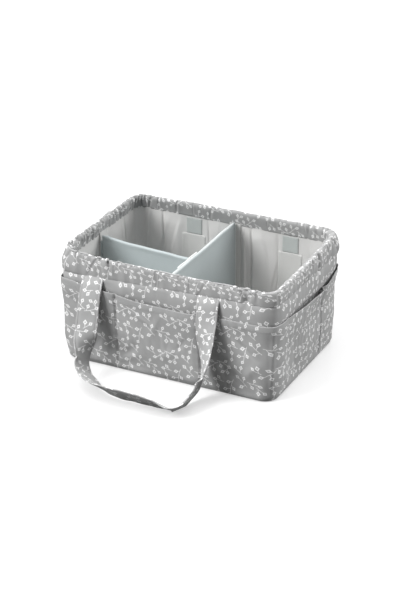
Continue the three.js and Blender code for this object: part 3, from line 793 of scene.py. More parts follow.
# offset in millimetres, height share and whether it is inside: up the outside and down the inside
casingUpright = [
    (-1.0, -0.05, 0), (-0.3, -0.015, 0), (0.1, 0.02, 0), (0.3, 0.07, 0), (0.5, 0.30, 0), (0.5, 0.55, 0),
    (0.3, 0.75, 0), (0.0, 0.88, 0), (-0.6, 0.955, 0), (-1.5, 0.99, 0), (-2.5, 1.0, 0), (-3.7, 0.985, 1),
    (-5.2, 0.945, 1), (-7.4, 0.88, 1), (-11.0, 0.76, 1), (-12.6, 0.52, 1), (-13.2, 0.26, 1), (-13.2, 0.05, 1),
    (-12.8, -0.05, 1)]
casingDrawn = [  # the same where the elastic draws the rim in
    (-1.0, -0.05, 0), (-0.3, -0.015, 0), (0.1, 0.02, 0), (0.3, 0.07, 0), (0.2, 0.30, 0), (-1.6, 0.55, 0),
    (-4.2, 0.75, 0), (-7.0, 0.88, 0), (-9.4, 0.95, 0), (-11.2, 0.99, 0), (-12.4, 1.0, 0), (-13.8, 0.985, 1),
    (-15.0, 0.94, 1), (-15.6, 0.87, 1), (-15.8, 0.75, 1), (-15.2, 0.52, 1), (-14.3, 0.26, 1),
    (-13.5, 0.05, 1), (-12.8, -0.05, 1)]
casingHold = ([0, 0.06, 0.2, 0.42, 0.55, 0.66, 0.85, 1],  # share of the way round the section
              [0.25, 0.6, 0.9, 1.0, 1.0, 0.9, 0.7, 0.3])  # how freely it pleats there
rimDrawn = ringCurve(  # share of the drawn-in section
    front=[(-150, 0.1), (-100, 0.0), (150, 0.0)], right=[(60, 0.0), (100, 0.15)],
    back=[(150, 0.7), (100, 1.0), (-150, 1.0)], left=[(80, 0.9), (-60, 0.8)])
rimLean = ringCurve(  # how far the crest leans outwards, in millimetres
    front=[(0, 0.0)], right=[(0, 0.6), (90, 0.0)], back=[(150, -1.0), (0, -2.0), (-150, -2.0)],
    left=[(0, -2.0), (-90, -1.0)])
rimSwell = ringCurve(  # extra bulge of the rim at the short walls, in millimetres
    front=[(-165, 2.4), (-150, 1.2), (-120, 0.0), (100, 0.0), (160, 0.6)],
    right=[(-80, 1.2), (60, 1.6), (110, 3.0)],
    back=[(165, 2.6), (140, 0.8), (100, 0.0), (-100, 0.0), (-150, 0.6)], left=[(80, 2.2), (-80, 3.2)])


def makeCasing():
    along = ringSteps(casing["steps"])[:, None]
    sections = []
    for section in (casingUpright, casingDrawn):
        shape = np.array([(o, h * (31 - 13 * i), 0, h, i) for o, h, i in section], float)
        sections.append(throughPoints(shape, np.linspace(0, 1, casing["rows"])))
    drawn = rimDrawn(along)
    upright, leaning = (section[None] for section in sections)
    offset, height, inside = (upright[..., k] * (1 - drawn) + leaning[..., k] * drawn for k in (0, 3, 4))
    inside = smooth(inside)
    hem, crest = hemHeight(along), crestHeight(along)
    bottom = hem * (1 - inside) + casing["innerHem"] * inside
    z = bottom + (crest - bottom) * height
    # the outer face rides on the cover, the inner on the lining
    fit = smooth((offset + 11.0) / 9.0) * (1 - inside)
    out = offset / 1000 + casing["seat"] + (coverOut(along, hem) - casing["seat"]) * fit
    reach = np.concatenate([[0], np.cumsum(np.hypot(np.diff(out[0]), np.diff(z[0])))])
    share = (reach / reach[-1])[None, :]
    out = out + rimSwell(along) / 1000 * np.exp(-((share - 0.22) / 0.24) ** 2)
    out = out + rimLean(along) / 1000 * smooth(height / 0.9)
    out = out + cornerShape(along, "rim") * smooth((0.5 - share) / 0.3)
    slopeOut, slopeZ = np.gradient(out, axis=1), np.gradient(z, axis=1)
    size = np.hypot(slopeOut, slopeZ)
    normalOut, normalZ = slopeZ / size, -slopeOut / size
    weight = np.interp(share, *casingHold)
    fine = np.abs(ripples(along, share, **casing["fine"])) - 0.6
    crestWeight = np.exp(-((share - 0.52) / 0.10) ** 2)
    puff = pleatField(along, share) * weight + casing["fineDepth"] * fine * (0.35 + crestWeight) * weight
    swell = ripples(along, share, **casing["swell"]) * smooth((0.6 - share) / 0.2) * smooth(share / 0.1)
    guard = np.exp(-(nearest(along, casing["quiet"]) / 0.012) ** 2)
    deep = drawn * smooth((1 - share) / 0.2)  # only the drawn-in rim has room for deep gathers on its inside
    inner = np.clip(puff, -0.0007 - 0.0013 * deep, 0.0008 + 0.0016 * deep) * (1 - 0.8 * guard)
    puff = np.where(share > 0.62, inner, puff)
    out = out + normalOut * puff + swell
    z = z + normalZ * puff + ripples(along, share * 0, **casing["crest"]) * smooth(share * 4)
    x, y = outline(along, out)
    chart = ringChart(along, 0.2 + reach[None, :], casing["gather"])
    piece = sewSheet("rimCasing", np.stack([x, y, z], -1), chart, cotton, loopAlong=True)
    # painted shade: the rim's cloth is darkened where the elastic draws it in and in the valleys of its folds
    shade = casing["drawnShade"] * drawn + casing["foldShade"] * smooth(-puff / 0.0014)
    layer = piece.data.attributes.new("shade", "FLOAT", "POINT")
    layer.data.foreach_set("value", shade.reshape(-1).astype(np.float32))
    thicken(piece, casing["fabric"])
    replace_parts(piece, "rim_casing")
    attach(piece, "basket")
    return piece


rimCasing = makeCasing()
print("rim made")

pocket = {
    "steps": 760, "rows": 46, "fabric": 0.0012, "hem": 0.009, "hemExtra": 0.0002, "foot": 0.008,
    "flat": 0.155, "ease": 1.03, "seamDepth": 0.0022, "foldDepth": 0.0007, "dentSeed": 17, "dentCount": 46,
    "waves": {"seed": 41, "count": 6, "spans": (0.06, 0.20), "lean": 8.0, "deep": 0.0013},
    "folds": {"seed": 42, "count": 7, "spans": (0.02, 0.06), "lean": 14.0},
    "dents": {"seed": 43, "count": 5, "spans": (0.10, 0.30), "lean": 11.0, "deep": 0.0012},
    # the foot's turned edge, below and inside, in millimetres
    "underOut": (-14, -7, -2.5, 0.2, 1.6, 2.2), "underZ": (0.25, 0.2, 0.3, 1.0, 2.6, 5.0),
    "backOut": (-2.0, -7, -14), "backZ": (2.0, 1.4, 1.45),
}
pocketBelly = ringCurve(  # how far a pocket bulges between its seams, in millimetres
    front=[(-120, 2.2), (0, 5.0), (50, 4.4), (120, 2.6)], right=[(-50, 2.6), (30, 2.4), (80, 1.2)],
    back=[(0, 2.2)], left=[(0, 1.6)])


def layDents():
    # soft slanting dents: place, height, heading, half length, half width, depth
    rng = np.random.default_rng(pocket["dentSeed"])
    dents = []
    for number in range(pocket["dentCount"]):
        place = perimeter * (number + rng.random()) / pocket["dentCount"]
        height, heading = rng.uniform(0.015, 0.118), rng.uniform(0.3, 2.8)
        long, wide = rng.uniform(0.010, 0.026), rng.uniform(0.0035, 0.0085)
        dents.append((place, height, heading, long, wide, rng.choice([-1, 1]) * rng.uniform(0.0006, 0.0017)))
    return dents + [
        (atFront(0.122), 0.034, 2.3, 0.020, 0.008, -0.0022),
        (atFront(0.094), 0.060, 2.0, 0.026, 0.007, -0.0020),
        (atFront(0.150), 0.052, 0.9, 0.020, 0.007, 0.0016),
        (atFront(-0.060), 0.040, 0.8, 0.022, 0.007, -0.0018)]


pocketDents = layDents()


def dentField(along, z):
    field = np.zeros(np.broadcast_shapes(along.shape, z.shape))
    for place, height, heading, long, wide, depth in pocketDents:
        x, y = ringWay(along, place), z - height
        u = x * math.cos(heading) + y * math.sin(heading)
        v = y * math.cos(heading) - x * math.sin(heading)
        field = field + depth * np.exp(-(u / long) ** 2 - (v / wide) ** 2)
    return field


def pocketOut(along, z, mouth):
    # outer face of the pocket band: sewn down at the base, at the seams and a little at the corners
    seam, corner = nearest(along, pocketSeams), nearest(along, cornerMiddles)
    bay = (1 - np.exp(-seam / 0.008)) * (1 - 0.6 * np.exp(-(corner / 0.022) ** 2))
    share = np.clip(z / mouth, 0, 1)
    belly = pocketBelly(along) / 1000 * bay * np.sin(math.pi * share ** 0.9)
    opened = mouthOpen(along) / 1000 * bay * smooth((share - 0.5) / 0.5) ** 1.3
    under = wallOut(along, z) + cornerShape(along, "pocket") * smooth(z / 0.05)
    waves = ripples(along, z, **pocket["waves"]) * (0.3 + 0.7 * bay)
    dents = (ripples(along, z, **pocket["dents"]) + dentField(along, z)) * smooth((1 - share) * 6)
    folds = np.abs(ripples(along, z, **pocket["folds"])) ** 0.8 * pocket["foldDepth"] * (0.4 + bay * 0.6)
    crease = 0.0005 * np.exp(-(corner / 0.0016) ** 2) - 0.0005 * np.exp(-((corner - 0.004) / 0.002) ** 2)
    crease = crease * smooth(share * 3) * smooth((1 - share) * 5)
    tight = 1 + 0.8 * np.exp(-(ringWay(along, atRight(0.052)) / 0.01) ** 2)  # the right seam is drawn in more
    groove = -pocket["seamDepth"] * tight * np.exp(-(seam / 0.0017) ** 2)
    pucker = 0.0004 * np.sin(math.tau * z / 0.013) * np.exp(-(seam / 0.007) ** 2)
    hem = pocket["hemExtra"] * smooth((z - mouth + pocket["hem"]) / 0.0012)
    relief = waves + dents + folds - 0.0003 + crease + groove + pucker
    out = under + pocket["fabric"] + 0.0012 + belly + opened + relief + hem
    return out * smooth(z / 0.014) + (pocket["fabric"] + 0.0026) * (1 - smooth(z / 0.014))


def makePockets():
    along = ringSteps(pocket["steps"])[:, None]
    mouth = mouthHeight(along)
    share = np.linspace(0, 1, pocket["rows"])[None, :]
    z = pocket["foot"] + (mouth - pocket["foot"]) * (1 - (1 - share) ** 1.25)
    out = pocketOut(along, z, mouth)
    fold = pocket["fabric"] + pocket["hemExtra"]
    underOut, underZ, backOut, backZ = (
        np.array(pocket[part])[None, :] / 1000 + np.zeros_like(mouth)
        for part in ("underOut", "underZ", "backOut", "backZ"))
    topOut = out[:, -1:] + np.array([-0.15, -0.5, -0.85])[None, :] * fold
    topZ = mouth + np.array([0.35, 0.5, 0.35])[None, :] * fold
    inZ = z[:, ::-1]
    hem = pocket["hemExtra"] * smooth((inZ - mouth + pocket["hem"]) / 0.001)
    inOut = out[:, ::-1] - pocket["fabric"] - hem
    out = np.hstack([underOut, out, topOut, inOut, backOut])
    z = np.hstack([underZ, z, topZ, inZ, backZ])
    x, y = outline(along, out)
    reach = np.concatenate([[0], np.cumsum(np.hypot(np.diff(out[0]), np.diff(z[0]))), [0]])
    reach[-1] = reach[-2] + 0.002
    chart = ringChart(along, 0.5 + reach[None, :])
    piece = sewSheet("pocketBand", np.stack([x, y, z], -1), chart, cotton, loopAlong=True, loopAcross=True)
    weld(piece)
    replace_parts(piece, "front_pocket", "right_pocket", "back_pocket", "left_pocket")
    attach(piece, "basket")


makePockets()
print("pockets made")

lining = {
    "steps": 1300, "rows": 38, "out": -0.0050, "bottom": 0.0046, "top": 0.1785, "fabric": 0.0008,
    "flat": 0.178, "ease": 1.01, "loose": 0.0022, "most": 0.0048,
    "waves": {"seed": 51, "count": 6, "spans": (0.06, 0.16), "lean": 9.0, "deep": 0.0010},
}
liningQuiet = [  # place and half width where tapes and strips hold it flat
    (atBack(0.005), 0.014), (atFront(0.005), 0.014), (atLeft(0.000), 0.024), (atBack(-0.070), 0.024),
    (atBack(0.104), 0.023)]
liningSeams = [atBack(0.034), atBack(0.082), atBack(-0.044), atBack(-0.128), atFront(-0.09), atFront(0.08),
               atRight(-0.03), atRight(0.05), atLeft(0.07)]
# lying folds: place, then soft width, height and lean in millimetres
# a width below 0 puts the sharp side on the left, seen from inside
liningFolds = [
    (atBack(-0.158), 12, 5.4, 4), (atBack(-0.104), -30, 3.6, 44), (atBack(-0.132), 30, 2.2, 50),
    (atBack(-0.034), 16, 2.0, 20), (atBack(0.021), 10, 2.6, 5), (atBack(0.037), -14, 2.6, 3),
    (atBack(0.060), 22, 3.4, -34), (atBack(0.052), -20, 2.0, -20), (atBack(0.085), -14, 2.8, 4),
    (atBack(0.078), 18, 2.0, 24), (atBack(0.150), -14, 3.2, -14),
    (atFront(-0.10), 16, 2.2, 12), (atFront(-0.04), -18, 1.8, -10), (atFront(0.10), 16, 2.2, -12),
    (atRight(-0.05), -14, 2.2, 12), (atRight(0.04), 16, 2.0, -14), (atLeft(-0.07), 14, 1.8, 9),
    (atLeft(0.06), -16, 2.2, 10),
]


def liningOut(along, z):
    # loose cloth that stands off the boards between its seams
    share = np.clip(z / lining["top"], 0, 1)
    calm = np.prod([1 - np.exp(-(ringWay(along, place) / wide) ** 4) for place, wide in liningQuiet], axis=0)
    corner = nearest(along, cornerMiddles)
    seam = nearest(along, [place + 0.002 * np.sin(7 * share) for place in liningSeams])
    loose = lining["loose"] * (1 - np.exp(-seam / 0.0030)) + ripples(along, z, **lining["waves"])
    tuck = 0.0010 * np.exp(-(np.abs(corner - 0.020 - 0.02 * (1 - share)) / 0.006) ** 2)
    for place, wide, height, lean in liningFolds:
        bent = (lean * (0.6 - share) + 3.5 * np.sin(4.6 * share + 40 * place)) / 1000
        gap = ringWay(along, place + bent) * 1000 * np.sign(wide)
        soft, sharp = abs(wide), 0.7 + 0.11 * abs(wide)
        lying = np.where(gap > 0, np.exp(-(np.abs(gap) / soft) ** 1.4), np.exp(-(gap / sharp) ** 2))
        loose = loose + height / 1000 * lying * (0.45 + 0.55 * np.sin(3.4 * share + 0.2))
    loose = loose * (1 - 0.92 * np.exp(-(seam / 0.0017) ** 2))
    held = smooth(z / 0.03) * (0.12 + 0.88 * smooth((lining["top"] - z) / 0.03))
    return lining["out"] - 0.0003 - np.clip((loose + tuck) * held * calm, -0.0002, lining["most"])


def makeLining():
    along = ringSteps(lining["steps"])[:, None]
    z = np.linspace(lining["bottom"], lining["top"], lining["rows"])[None, :] + np.zeros_like(along)
    x, y = outline(along, liningOut(along, z))
    chart = ringChart(along, z[:1])
    piece = sewSheet("wallLining", np.stack([x, y, z], -1), chart, liningCloth, loopAlong=True, flip=True)
    thicken(piece, lining["fabric"])
    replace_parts(piece, "front_lining", "right_lining", "back_lining", "left_lining")
    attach(piece, "basket")
    return piece


wallLining = makeLining()

flatCloth = {"steps": 320, "rings": 34, "spine": 0.058}
floorFacts = {"out": -0.0062, "level": 0.0052, "fabric": 0.0008, "wave": 0.0004, "seed": 1.0, "flip": False}
baseFacts = {"out": -0.004, "level": 0.0009, "fabric": 0.0006, "wave": 0.0002, "seed": 2.0, "flip": True}


def floorSheet(name, material, out, level, fabric, wave, seed, flip):
    # a rounded rectangle of cloth, in rings that close on a line along its middle
    along = ringSteps(flatCloth["steps"])[:, None]
    x, y = outline(along, np.full_like(along, out))
    spine = np.clip(x, -flatCloth["spine"], flatCloth["spine"])
    share = np.linspace(0, 1, flatCloth["rings"])[None, :]
    px, py = x + (spine - x) * share, y * (1 - share)
    sway = np.sin(px * 46 + 2.0 * np.sin(py * 30 + seed)) * np.sin(py * 52 + 1.4 * np.sin(px * 24 + seed))
    z = level + wave * sway * smooth(share * 5)
    chart = np.stack([np.vstack([px, px[:1]]), np.vstack([py, py[:1]])], -1)
    piece = sewSheet(name, np.stack([px, py, z], -1), chart, material, loopAlong=True, flip=flip)
    weld(piece)
    if flip:
        editAll(piece)
        bpy.ops.mesh.flip_normals()
        bpy.ops.object.mode_set(mode="OBJECT")
    thicken(piece, fabric)
    return piece


floorLining = floorSheet("floorLining", liningCloth, **floorFacts)
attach(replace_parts(floorLining, "base_lining"), "basket")
baseCloth = floorSheet("baseCloth", cotton, **baseFacts)
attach(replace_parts(baseCloth, "base_cover"), "basket")
print("lining and base made")

strap = {
    "plane": 0.1343, "legs": (-0.123, 0.0775), "width": 0.036, "thick": 0.0030, "steps": 230, "cut": 0.080,
    "sewn": (0.1300, 0.1585), "free": (0.1390, 0.1400),  # outwards and up, between which it turns
    # across the strap and through it, with a dip at each seam
    "lanes": (-1, -0.97, -0.9, -0.83, -0.8, -0.77, -0.6, -0.3, 0, 0.3, 0.6, 0.77, 0.8, 0.83, 0.9, 0.97, 1),
    "fat": (0.25, 0.62, 0.85, 0.75, 0.55, 0.75, 0.95, 1, 1, 1, 0.95, 0.75, 0.55, 0.75, 0.85, 0.62, 0.25),
    "seamLanes": (4, 12), "seamTrim": 6,
    # height above the hem and distance from the wall where each leg goes under the rim
    "leftRoot": ((0.009, 0.0014), (0.002, 0.0026), (-0.005, 0.0086)),
    "rightRoot": ((-0.008, 0.0096), (0.002, 0.0026), (0.009, 0.0014)),
}
strapRoute = [  # leg, sideways and outwards in millimetres, height, way that the outer face looks
    (0, 0, 5, 140, (0.04, -1, 0.05)), (0, 0, 14, 115, (0.12, -1, 0.1)), (0, 0.5, 21, 91, (0.20, -1, 0.05)),
    (0, 0.5, 27, 69, (0.30, -0.95, -0.1)), (0, 0, 30.5, 56, (0.66, -0.72, -0.2)),
    (0, 0, 34, 45, (0.88, -0.44, -0.25)), (0, 1, 39, 34, (0.90, -0.34, -0.2)),
    (0, 6, 49, 24, (0.8, -0.2, 0.3)), (0, 23, 66, 19.5, (0.3, 0.4, 0.85)),
    (0, 53, 85, 17.5, (-0.1, 0.66, 0.74)), (0, 86, 91, 16.5, (-0.2, 0.74, 0.64)),
    (0, 115, 90.5, 16, (-0.2, 0.74, 0.64)), (1, -48.5, 90, 14, (-0.15, 0.7, 0.7)),
    (1, -26, 90, 11.5, (-0.05, 0.56, 0.83)), (1, -17, 90, 11, (-0.2, 0.5, 0.84)),
    (1, -12, 87, 11.2, (-0.46, 0.4, 0.76)), (1, -9, 79, 12, (-0.64, 0.3, 0.66)),
    (1, -5, 62, 15, (-0.8, 0.22, 0.5)), (1, -2, 37, 24, (-0.9, 0.1, 0.35)),
    (1, 1.5, 26, 36, (-0.95, -0.28, 0.1)), (1, 3.5, 22, 52, (-0.86, -0.52, 0)),
    (1, 4, 19.5, 70, (-0.66, -0.75, 0)), (1, 3, 16, 90, (-0.42, -0.9, 0)),
    (1, 1.5, 12, 108, (-0.2, -0.98, 0)), (1, 0.5, 5, 134, (0, -1, 0)),
]


def strapFrames():
    # the strap's middle line, with its ways across and outwards, from under the rim on the left to the right
    legs, wall = strap["legs"], plan["width"] / 2
    left, right = (
        [(x, -wall - out, float(hemHeight(atFront(x))) + rise, 0, -1, 0) for rise, out in strap[root]]
        for x, root in zip(legs, ("leftRoot", "rightRoot")))
    route = [(legs[leg] + side / 1000, -strap["plane"] - out / 1000, height / 1000, *facing)
             for leg, side, out, height, facing in strapRoute]
    drawn = throughPoints(left + route + right, np.linspace(0, 1, strap["steps"]))
    middle = drawn[:, :3]
    ahead = np.gradient(middle, axis=0)
    ahead /= np.linalg.norm(ahead, axis=1, keepdims=True)
    facing = drawn[:, 3:] - ahead * np.sum(drawn[:, 3:] * ahead, axis=1, keepdims=True)
    facing /= np.linalg.norm(facing, axis=1, keepdims=True)
    return middle, np.cross(facing, ahead), facing


def makeStrap(name, back):
    middle, across, facing = strapFrames()
    reach = np.concatenate([[0], np.cumsum(np.linalg.norm(np.diff(middle, axis=0), axis=1))])
    half, thick = strap["width"] / 2, strap["thick"] / 2
    lanes, fat = np.array(strap["lanes"]), np.array(strap["fat"])
    ring = np.concatenate([np.stack([lanes, fat], -1), np.stack([lanes[::-1], -fat[::-1]], -1)])
    cup = 0.0006 * np.sin(reach * 61 + 0.5) + 0.0004 * np.sin(reach * 143)
    curl = 0.0003 * np.sin(reach * 210)
    bend = cup[:, None] * (1 - ring[None, :, 0] ** 2) + curl[:, None] * ring[None, :, 0] ** 3
    points = (middle[:, None] + across[:, None] * (ring[None, :, :1] * half)
              + facing[:, None] * (ring[None, :, 1:] * thick + bend[..., None]))
    points[..., 2] += np.clip(0.0003 - points[..., 2].min(axis=1), 0, None)[:, None]  # kept above the floor
    girth = np.hypot(np.diff(ring[:, 0]) * half, np.diff(ring[:, 1]) * thick)
    girth = np.concatenate([[0], np.cumsum(girth), [0]])
    girth[-1] = girth[-2] + 0.0015
    chart = np.stack([0.031 + girth[None, :] + 0 * reach[:, None], reach[:, None] + 0 * girth[None, :]], -1)
    seamLines = []
    for first, sign in ((0, 1), (len(lanes), -1)):  # along both edges of the outer and the inner face
        for lane in strap["seamLanes"]:
            seamLines.append((points[:, first + lane] + facing * 0.0001 * sign, facing * sign))
    if back:
        points[..., :2] *= -1
        seamLines = [(line * (-1, -1, 1), normal * (-1, -1, 1)) for line, normal in seamLines]
    piece = sewSheet(name + "Strap", points, chart, cotton, loopAcross=True)
    editAll(piece)
    bpy.ops.mesh.region_to_loop()
    bpy.ops.mesh.edge_face_add()
    bpy.ops.mesh.select_all(action="SELECT")
    bpy.ops.mesh.normals_make_consistent(inside=False)
    bpy.ops.object.mode_set(mode="OBJECT")
    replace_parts(piece, f"{name}_handle_strap", f"{name}_handle_left_tab", f"{name}_handle_right_tab")
    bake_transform(piece)
    rows, kept = [], slice(strap["seamTrim"], -strap["seamTrim"])
    for number, (line, normal) in enumerate(seamLines):
        row = stitchRow(f"{name}StrapStitches{number + 1}", line[kept], normal[kept], greyThread)
        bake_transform(row)
        rows.append(row)


makeStrap("front", False)
makeStrap("back", True)
print("handles made")

pad = {
    "thick": 0.0064, "edge": 0.0030, "step": 0.0045, "tall": 0.165, "hem": 0.006, "fill": 0.7,
    "pressure": 2.0, "frames": 14, "cap": 0.0012,
}


def puffUp(piece, pinned):
    # a short pressure run swells the cloth between its sewn edges
    group = piece.vertex_groups.new(name="sewn")
    for index, weight in enumerate(pinned):
        group.add([index], float(weight), "REPLACE")
    before = np.array([v.co for v in piece.data.vertices])
    cloth = piece.modifiers.new("swell", "CLOTH")
    settings = cloth.settings
    settings.quality, settings.mass = 6, 0.15
    settings.tension_stiffness = settings.compression_stiffness = 12
    settings.shear_stiffness, settings.bending_stiffness = 5, 0.6
    settings.use_pressure, settings.uniform_pressure_force = True, pad["pressure"]
    settings.effector_weights.gravity = 0
    settings.vertex_group_mass = group.name
    cloth.point_cache.frame_start, cloth.point_cache.frame_end = 1, pad["frames"]
    for number in range(1, pad["frames"] + 1):
        scene.frame_set(number)
    solved = piece.evaluated_get(bpy.context.evaluated_depsgraph_get()).data
    after = np.array([v.co for v in solved.vertices])
    move = after - before
    far = np.linalg.norm(move, axis=1, keepdims=True)
    move *= np.minimum(1, pad["cap"] / np.maximum(far, 1e-9))
    piece.modifiers.remove(cloth)
    piece.vertex_groups.remove(group)
    piece.data.vertices.foreach_set("co", (before + move).reshape(-1))
    piece.data.update()
    scene.frame_set(1)


def makePad(name, start, end, bottom, top, seed):
    # a closed pillow drawn on its own plane: two faces that meet in sewn edges, folded over at the top
    start, end = np.array(start, float), np.array(end, float)
    length = np.linalg.norm(end - start)
    ahead = (end - start) / length
    aside = np.array([-ahead[1], ahead[0]])
    columns, rows = int(length / pad["step"]), int(pad["tall"] / pad["step"])
    u = np.linspace(0, 1, columns)[:, None]
    share = np.linspace(0, 1, rows)[None, :]
    high = np.array([top(value) for value in u[:, 0] * length])[:, None]
    foldRound = np.linspace(0, math.pi, 7)[1:-1]
    dip = 0.0003 * np.sin(u * 11 + seed) + 0.0002 * np.sin(u * 23 + seed * 2)
    z = bottom + (high - pad["thick"] / 2 - bottom + dip) * share
    edge = np.minimum(np.minimum(u, 1 - u) * length, (z - bottom) + 0 * u)
    line = np.abs(high - z - pad["hem"] - 0.001)
    half = pad["edge"] / 2 + (pad["thick"] - pad["edge"]) / 2 * smooth(edge / 0.012)
    half = half - 0.0006 * np.exp(-(line / 0.0022) ** 2)
    sway = 0.0011 * np.sin(u * 5.2 + seed) * np.sin(share * 2.6 + seed) + 0.0005 * np.sin(u * 13 + share * 4)
    sway = sway * smooth(np.minimum(u, 1 - u) * length / 0.05)
    front = np.stack([u * length + 0 * z, half + sway, z], -1)
    lip = half[:, -1:]
    fold = np.stack([u * length + 0 * foldRound[None, :], lip * np.cos(foldRound)[None, :] + sway[:, -1:],
                     z[:, -1:] + lip * 1.15 * np.sin(foldRound)[None, :]], -1)
    behind = np.stack([u * length + 0 * z, -half + sway, z], -1)[:, ::-1]
    local = np.concatenate([front, fold, behind], axis=1)
    points = np.stack([start[0] + ahead[0] * local[..., 0] + aside[0] * local[..., 1],
                       start[1] + ahead[1] * local[..., 0] + aside[1] * local[..., 1], local[..., 2]], -1)
    count = points.shape[1]
    chart = np.stack([local[..., 0], np.arange(count)[None, :] * pad["step"] + 0 * u], -1)
    chart = np.concatenate([chart, chart[:, :1]], axis=1)
    piece = sewSheet(name, points, chart, dividerCloth, loopAcross=True)
    editAll(piece)
    bpy.ops.mesh.region_to_loop()
    bpy.ops.mesh.fill_grid(span=1)
    bpy.ops.mesh.select_all(action="SELECT")
    bpy.ops.mesh.quads_convert_to_tris()
    bpy.ops.mesh.tris_convert_to_quads()
    bpy.ops.mesh.normals_make_consistent(inside=False)
    bpy.ops.object.mode_set(mode="OBJECT")
    return piece, start, ahead


def mainTop(place):
    # sags a little in the middle
    return 0.179 - 0.0010 * math.sin(place / 0.2284 * math.pi)


def crossTop(place):
    # rises to the left wall
    return 0.166 + 0.005 * max(0, 1 - 2 * place / 0.172) ** 2


dividers = {
    "main": {
        "start": (0.005, -0.1142), "end": (0.005, 0.1142), "bottom": 0.0072, "top": mainTop, "seed": 0.7,
    },
    "cross": {
        "start": (-0.1722, -0.011), "end": (-0.0006, -0.022), "bottom": 0.0072, "top": crossTop, "seed": 2.1,
    },
}
flapPress = {"before": -0.012, "face": 0.0019}  # the main divider's left face is flat there, under the flap


def makeDividers():
    made = {}
    for name, facts in dividers.items():
        board, top = name + "_divider", facts["top"]
        piece, start, ahead = makePad(name + "DividerPad", **facts)
        place = np.array([v.co for v in piece.data.vertices])
        along = (place[:, 0] - start[0]) * ahead[0] + (place[:, 1] - start[1]) * ahead[1]
        length = np.linalg.norm(np.array(facts["end"]) - start)
        edge = np.minimum(np.minimum(along, length - along), place[:, 2] - facts["bottom"])
        ceiling = np.array([top(value) for value in along])
        sewn = np.maximum(np.exp(-(edge / 0.004) ** 2), smooth((place[:, 2] - ceiling + 0.013) / 0.004))
        puffUp(piece, np.clip(sewn, 0.0, 1.0))
        if name == "main":  # a painted highlight along its top, and pressed flat where the other divider's flap lies on it
            piece.data.materials[0] = mainCloth
            for vertex in piece.data.vertices:
                if vertex.co.y < flapPress["before"]:
                    vertex.co.x = max(vertex.co.x, flapPress["face"])
        pick(piece)
        finer = piece.modifiers.new("rounder", "SUBSURF")
        finer.levels = finer.render_levels = 1
        bpy.ops.object.modifier_apply(modifier=finer.name)
        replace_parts(piece, board + "_cover", board + "_board")
        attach(piece, board)
        made[name] = piece
    return made


dividerPads = makeDividers()
print("dividers made")


tape = {"round": 0.32, "cuts": 5, "wave": 0.00025}  # edge rounding is a share of the thickness


def tapePiece(name, size, centre, facing, material):
    # a sewn strip: a plate at its size, divided, with rounded edges and slight waves
    bpy.ops.object.select_all(action="DESELECT")
    bpy.ops.mesh.primitive_cube_add(size=1, location=(0, 0, 0))
    piece = bpy.context.object
    piece.name = piece.data.name = name
    piece.scale = size
    bpy.ops.object.transform_apply(location=False, rotation=False, scale=True)
    editAll(piece)
    bpy.ops.mesh.bevel(offset=min(size) * tape["round"], segments=2, affect="EDGES")
    bpy.ops.mesh.select_all(action="SELECT")
    bpy.ops.mesh.subdivide(number_cuts=tape["cuts"])
    bpy.ops.object.mode_set(mode="OBJECT")
    for vertex in piece.data.vertices:
        x, y, z = vertex.co
        vertex.co += Vector(facing) * tape["wave"] * math.sin(x * 260 + y * 300 + z * 130)
    piece.data.transform(Matrix.Translation(Vector(centre)))
    bpy.ops.object.shade_smooth()
    piece.data.materials.append(material)
    return piece


patches = [  # node it stands for, finish, slot, thickness in millimetres
    ("back_left_loop_strip", loopTape, "hook_loop_tape", 0.6),
    ("back_right_loop_strip", loopTape, "hook_loop_tape", 0.6),
    ("back_left_closure_tab", patchCloth, "divider_cloth", 0.9),
    ("back_right_closure_tab", patchCloth, "divider_cloth", 0.9),
]


def pieceName(node):
    words = node.split("_")
    return words[0] + "".join(word.title() for word in words[1:])


patchSewing = {"columns": 30, "rows": 34, "inset": 0.002, "dip": 0.0002, "clear": 0.0001}


def makePatches():
    # thin pieces sewn flat on the loose lining of the back wall
    inset = patchSewing["inset"]
    for node, material, slotName, thick in patches:
        low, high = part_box(node)
        along = np.linspace(-high[0], -low[0], patchSewing["columns"])[:, None]
        z = np.linspace(low[2], high[2], patchSewing["rows"])[None, :] + 0 * along
        edge = np.minimum(np.minimum(along + high[0], -low[0] - along), np.minimum(z - low[2], high[2] - z))
        rise = thick / 1000 * (0.5 + 0.5 * smooth(edge / 0.0015))
        rise = rise - patchSewing["dip"] * np.exp(-((edge - inset) / 0.0008) ** 2)
        x, y = outline(along, liningOut(along, z) - patchSewing["clear"] - rise)
        chart = np.stack([along + 0 * z, z], -1)
        name = pieceName(node)
        piece = sewSheet(name, np.stack([x, y, z], -1), chart, material, flip=True)
        thicken(piece, thick / 1000 * 0.5)
        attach(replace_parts(piece, node), "basket")
        corners = [(low[0], low[2]), (high[0], low[2]), (high[0], high[2]), (low[0], high[2])]
        sides = zip(corners, corners[1:] + corners[:1])
        line = np.concatenate([np.linspace(a, b, 24)[:-1] for a, b in sides])
        middle = np.array([(low[0] + high[0]) / 2, (low[2] + high[2]) / 2])
        half = np.array([high[0] - low[0], high[2] - low[2]]) / 2
        line = line + np.sign(middle - line) * inset * (np.abs(line - middle) > half - inset)
        px, py = outline(-line[:, 0], liningOut(-line[:, 0], line[:, 1]) - thick / 1000)
        row = stitchRow(name + "Stitches", np.stack([px, py, line[:, 1]], -1),
                        np.array([[0, -1, 0]] * len(line)), paleThread, closed=True)
        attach(row, "basket")


makePatches()

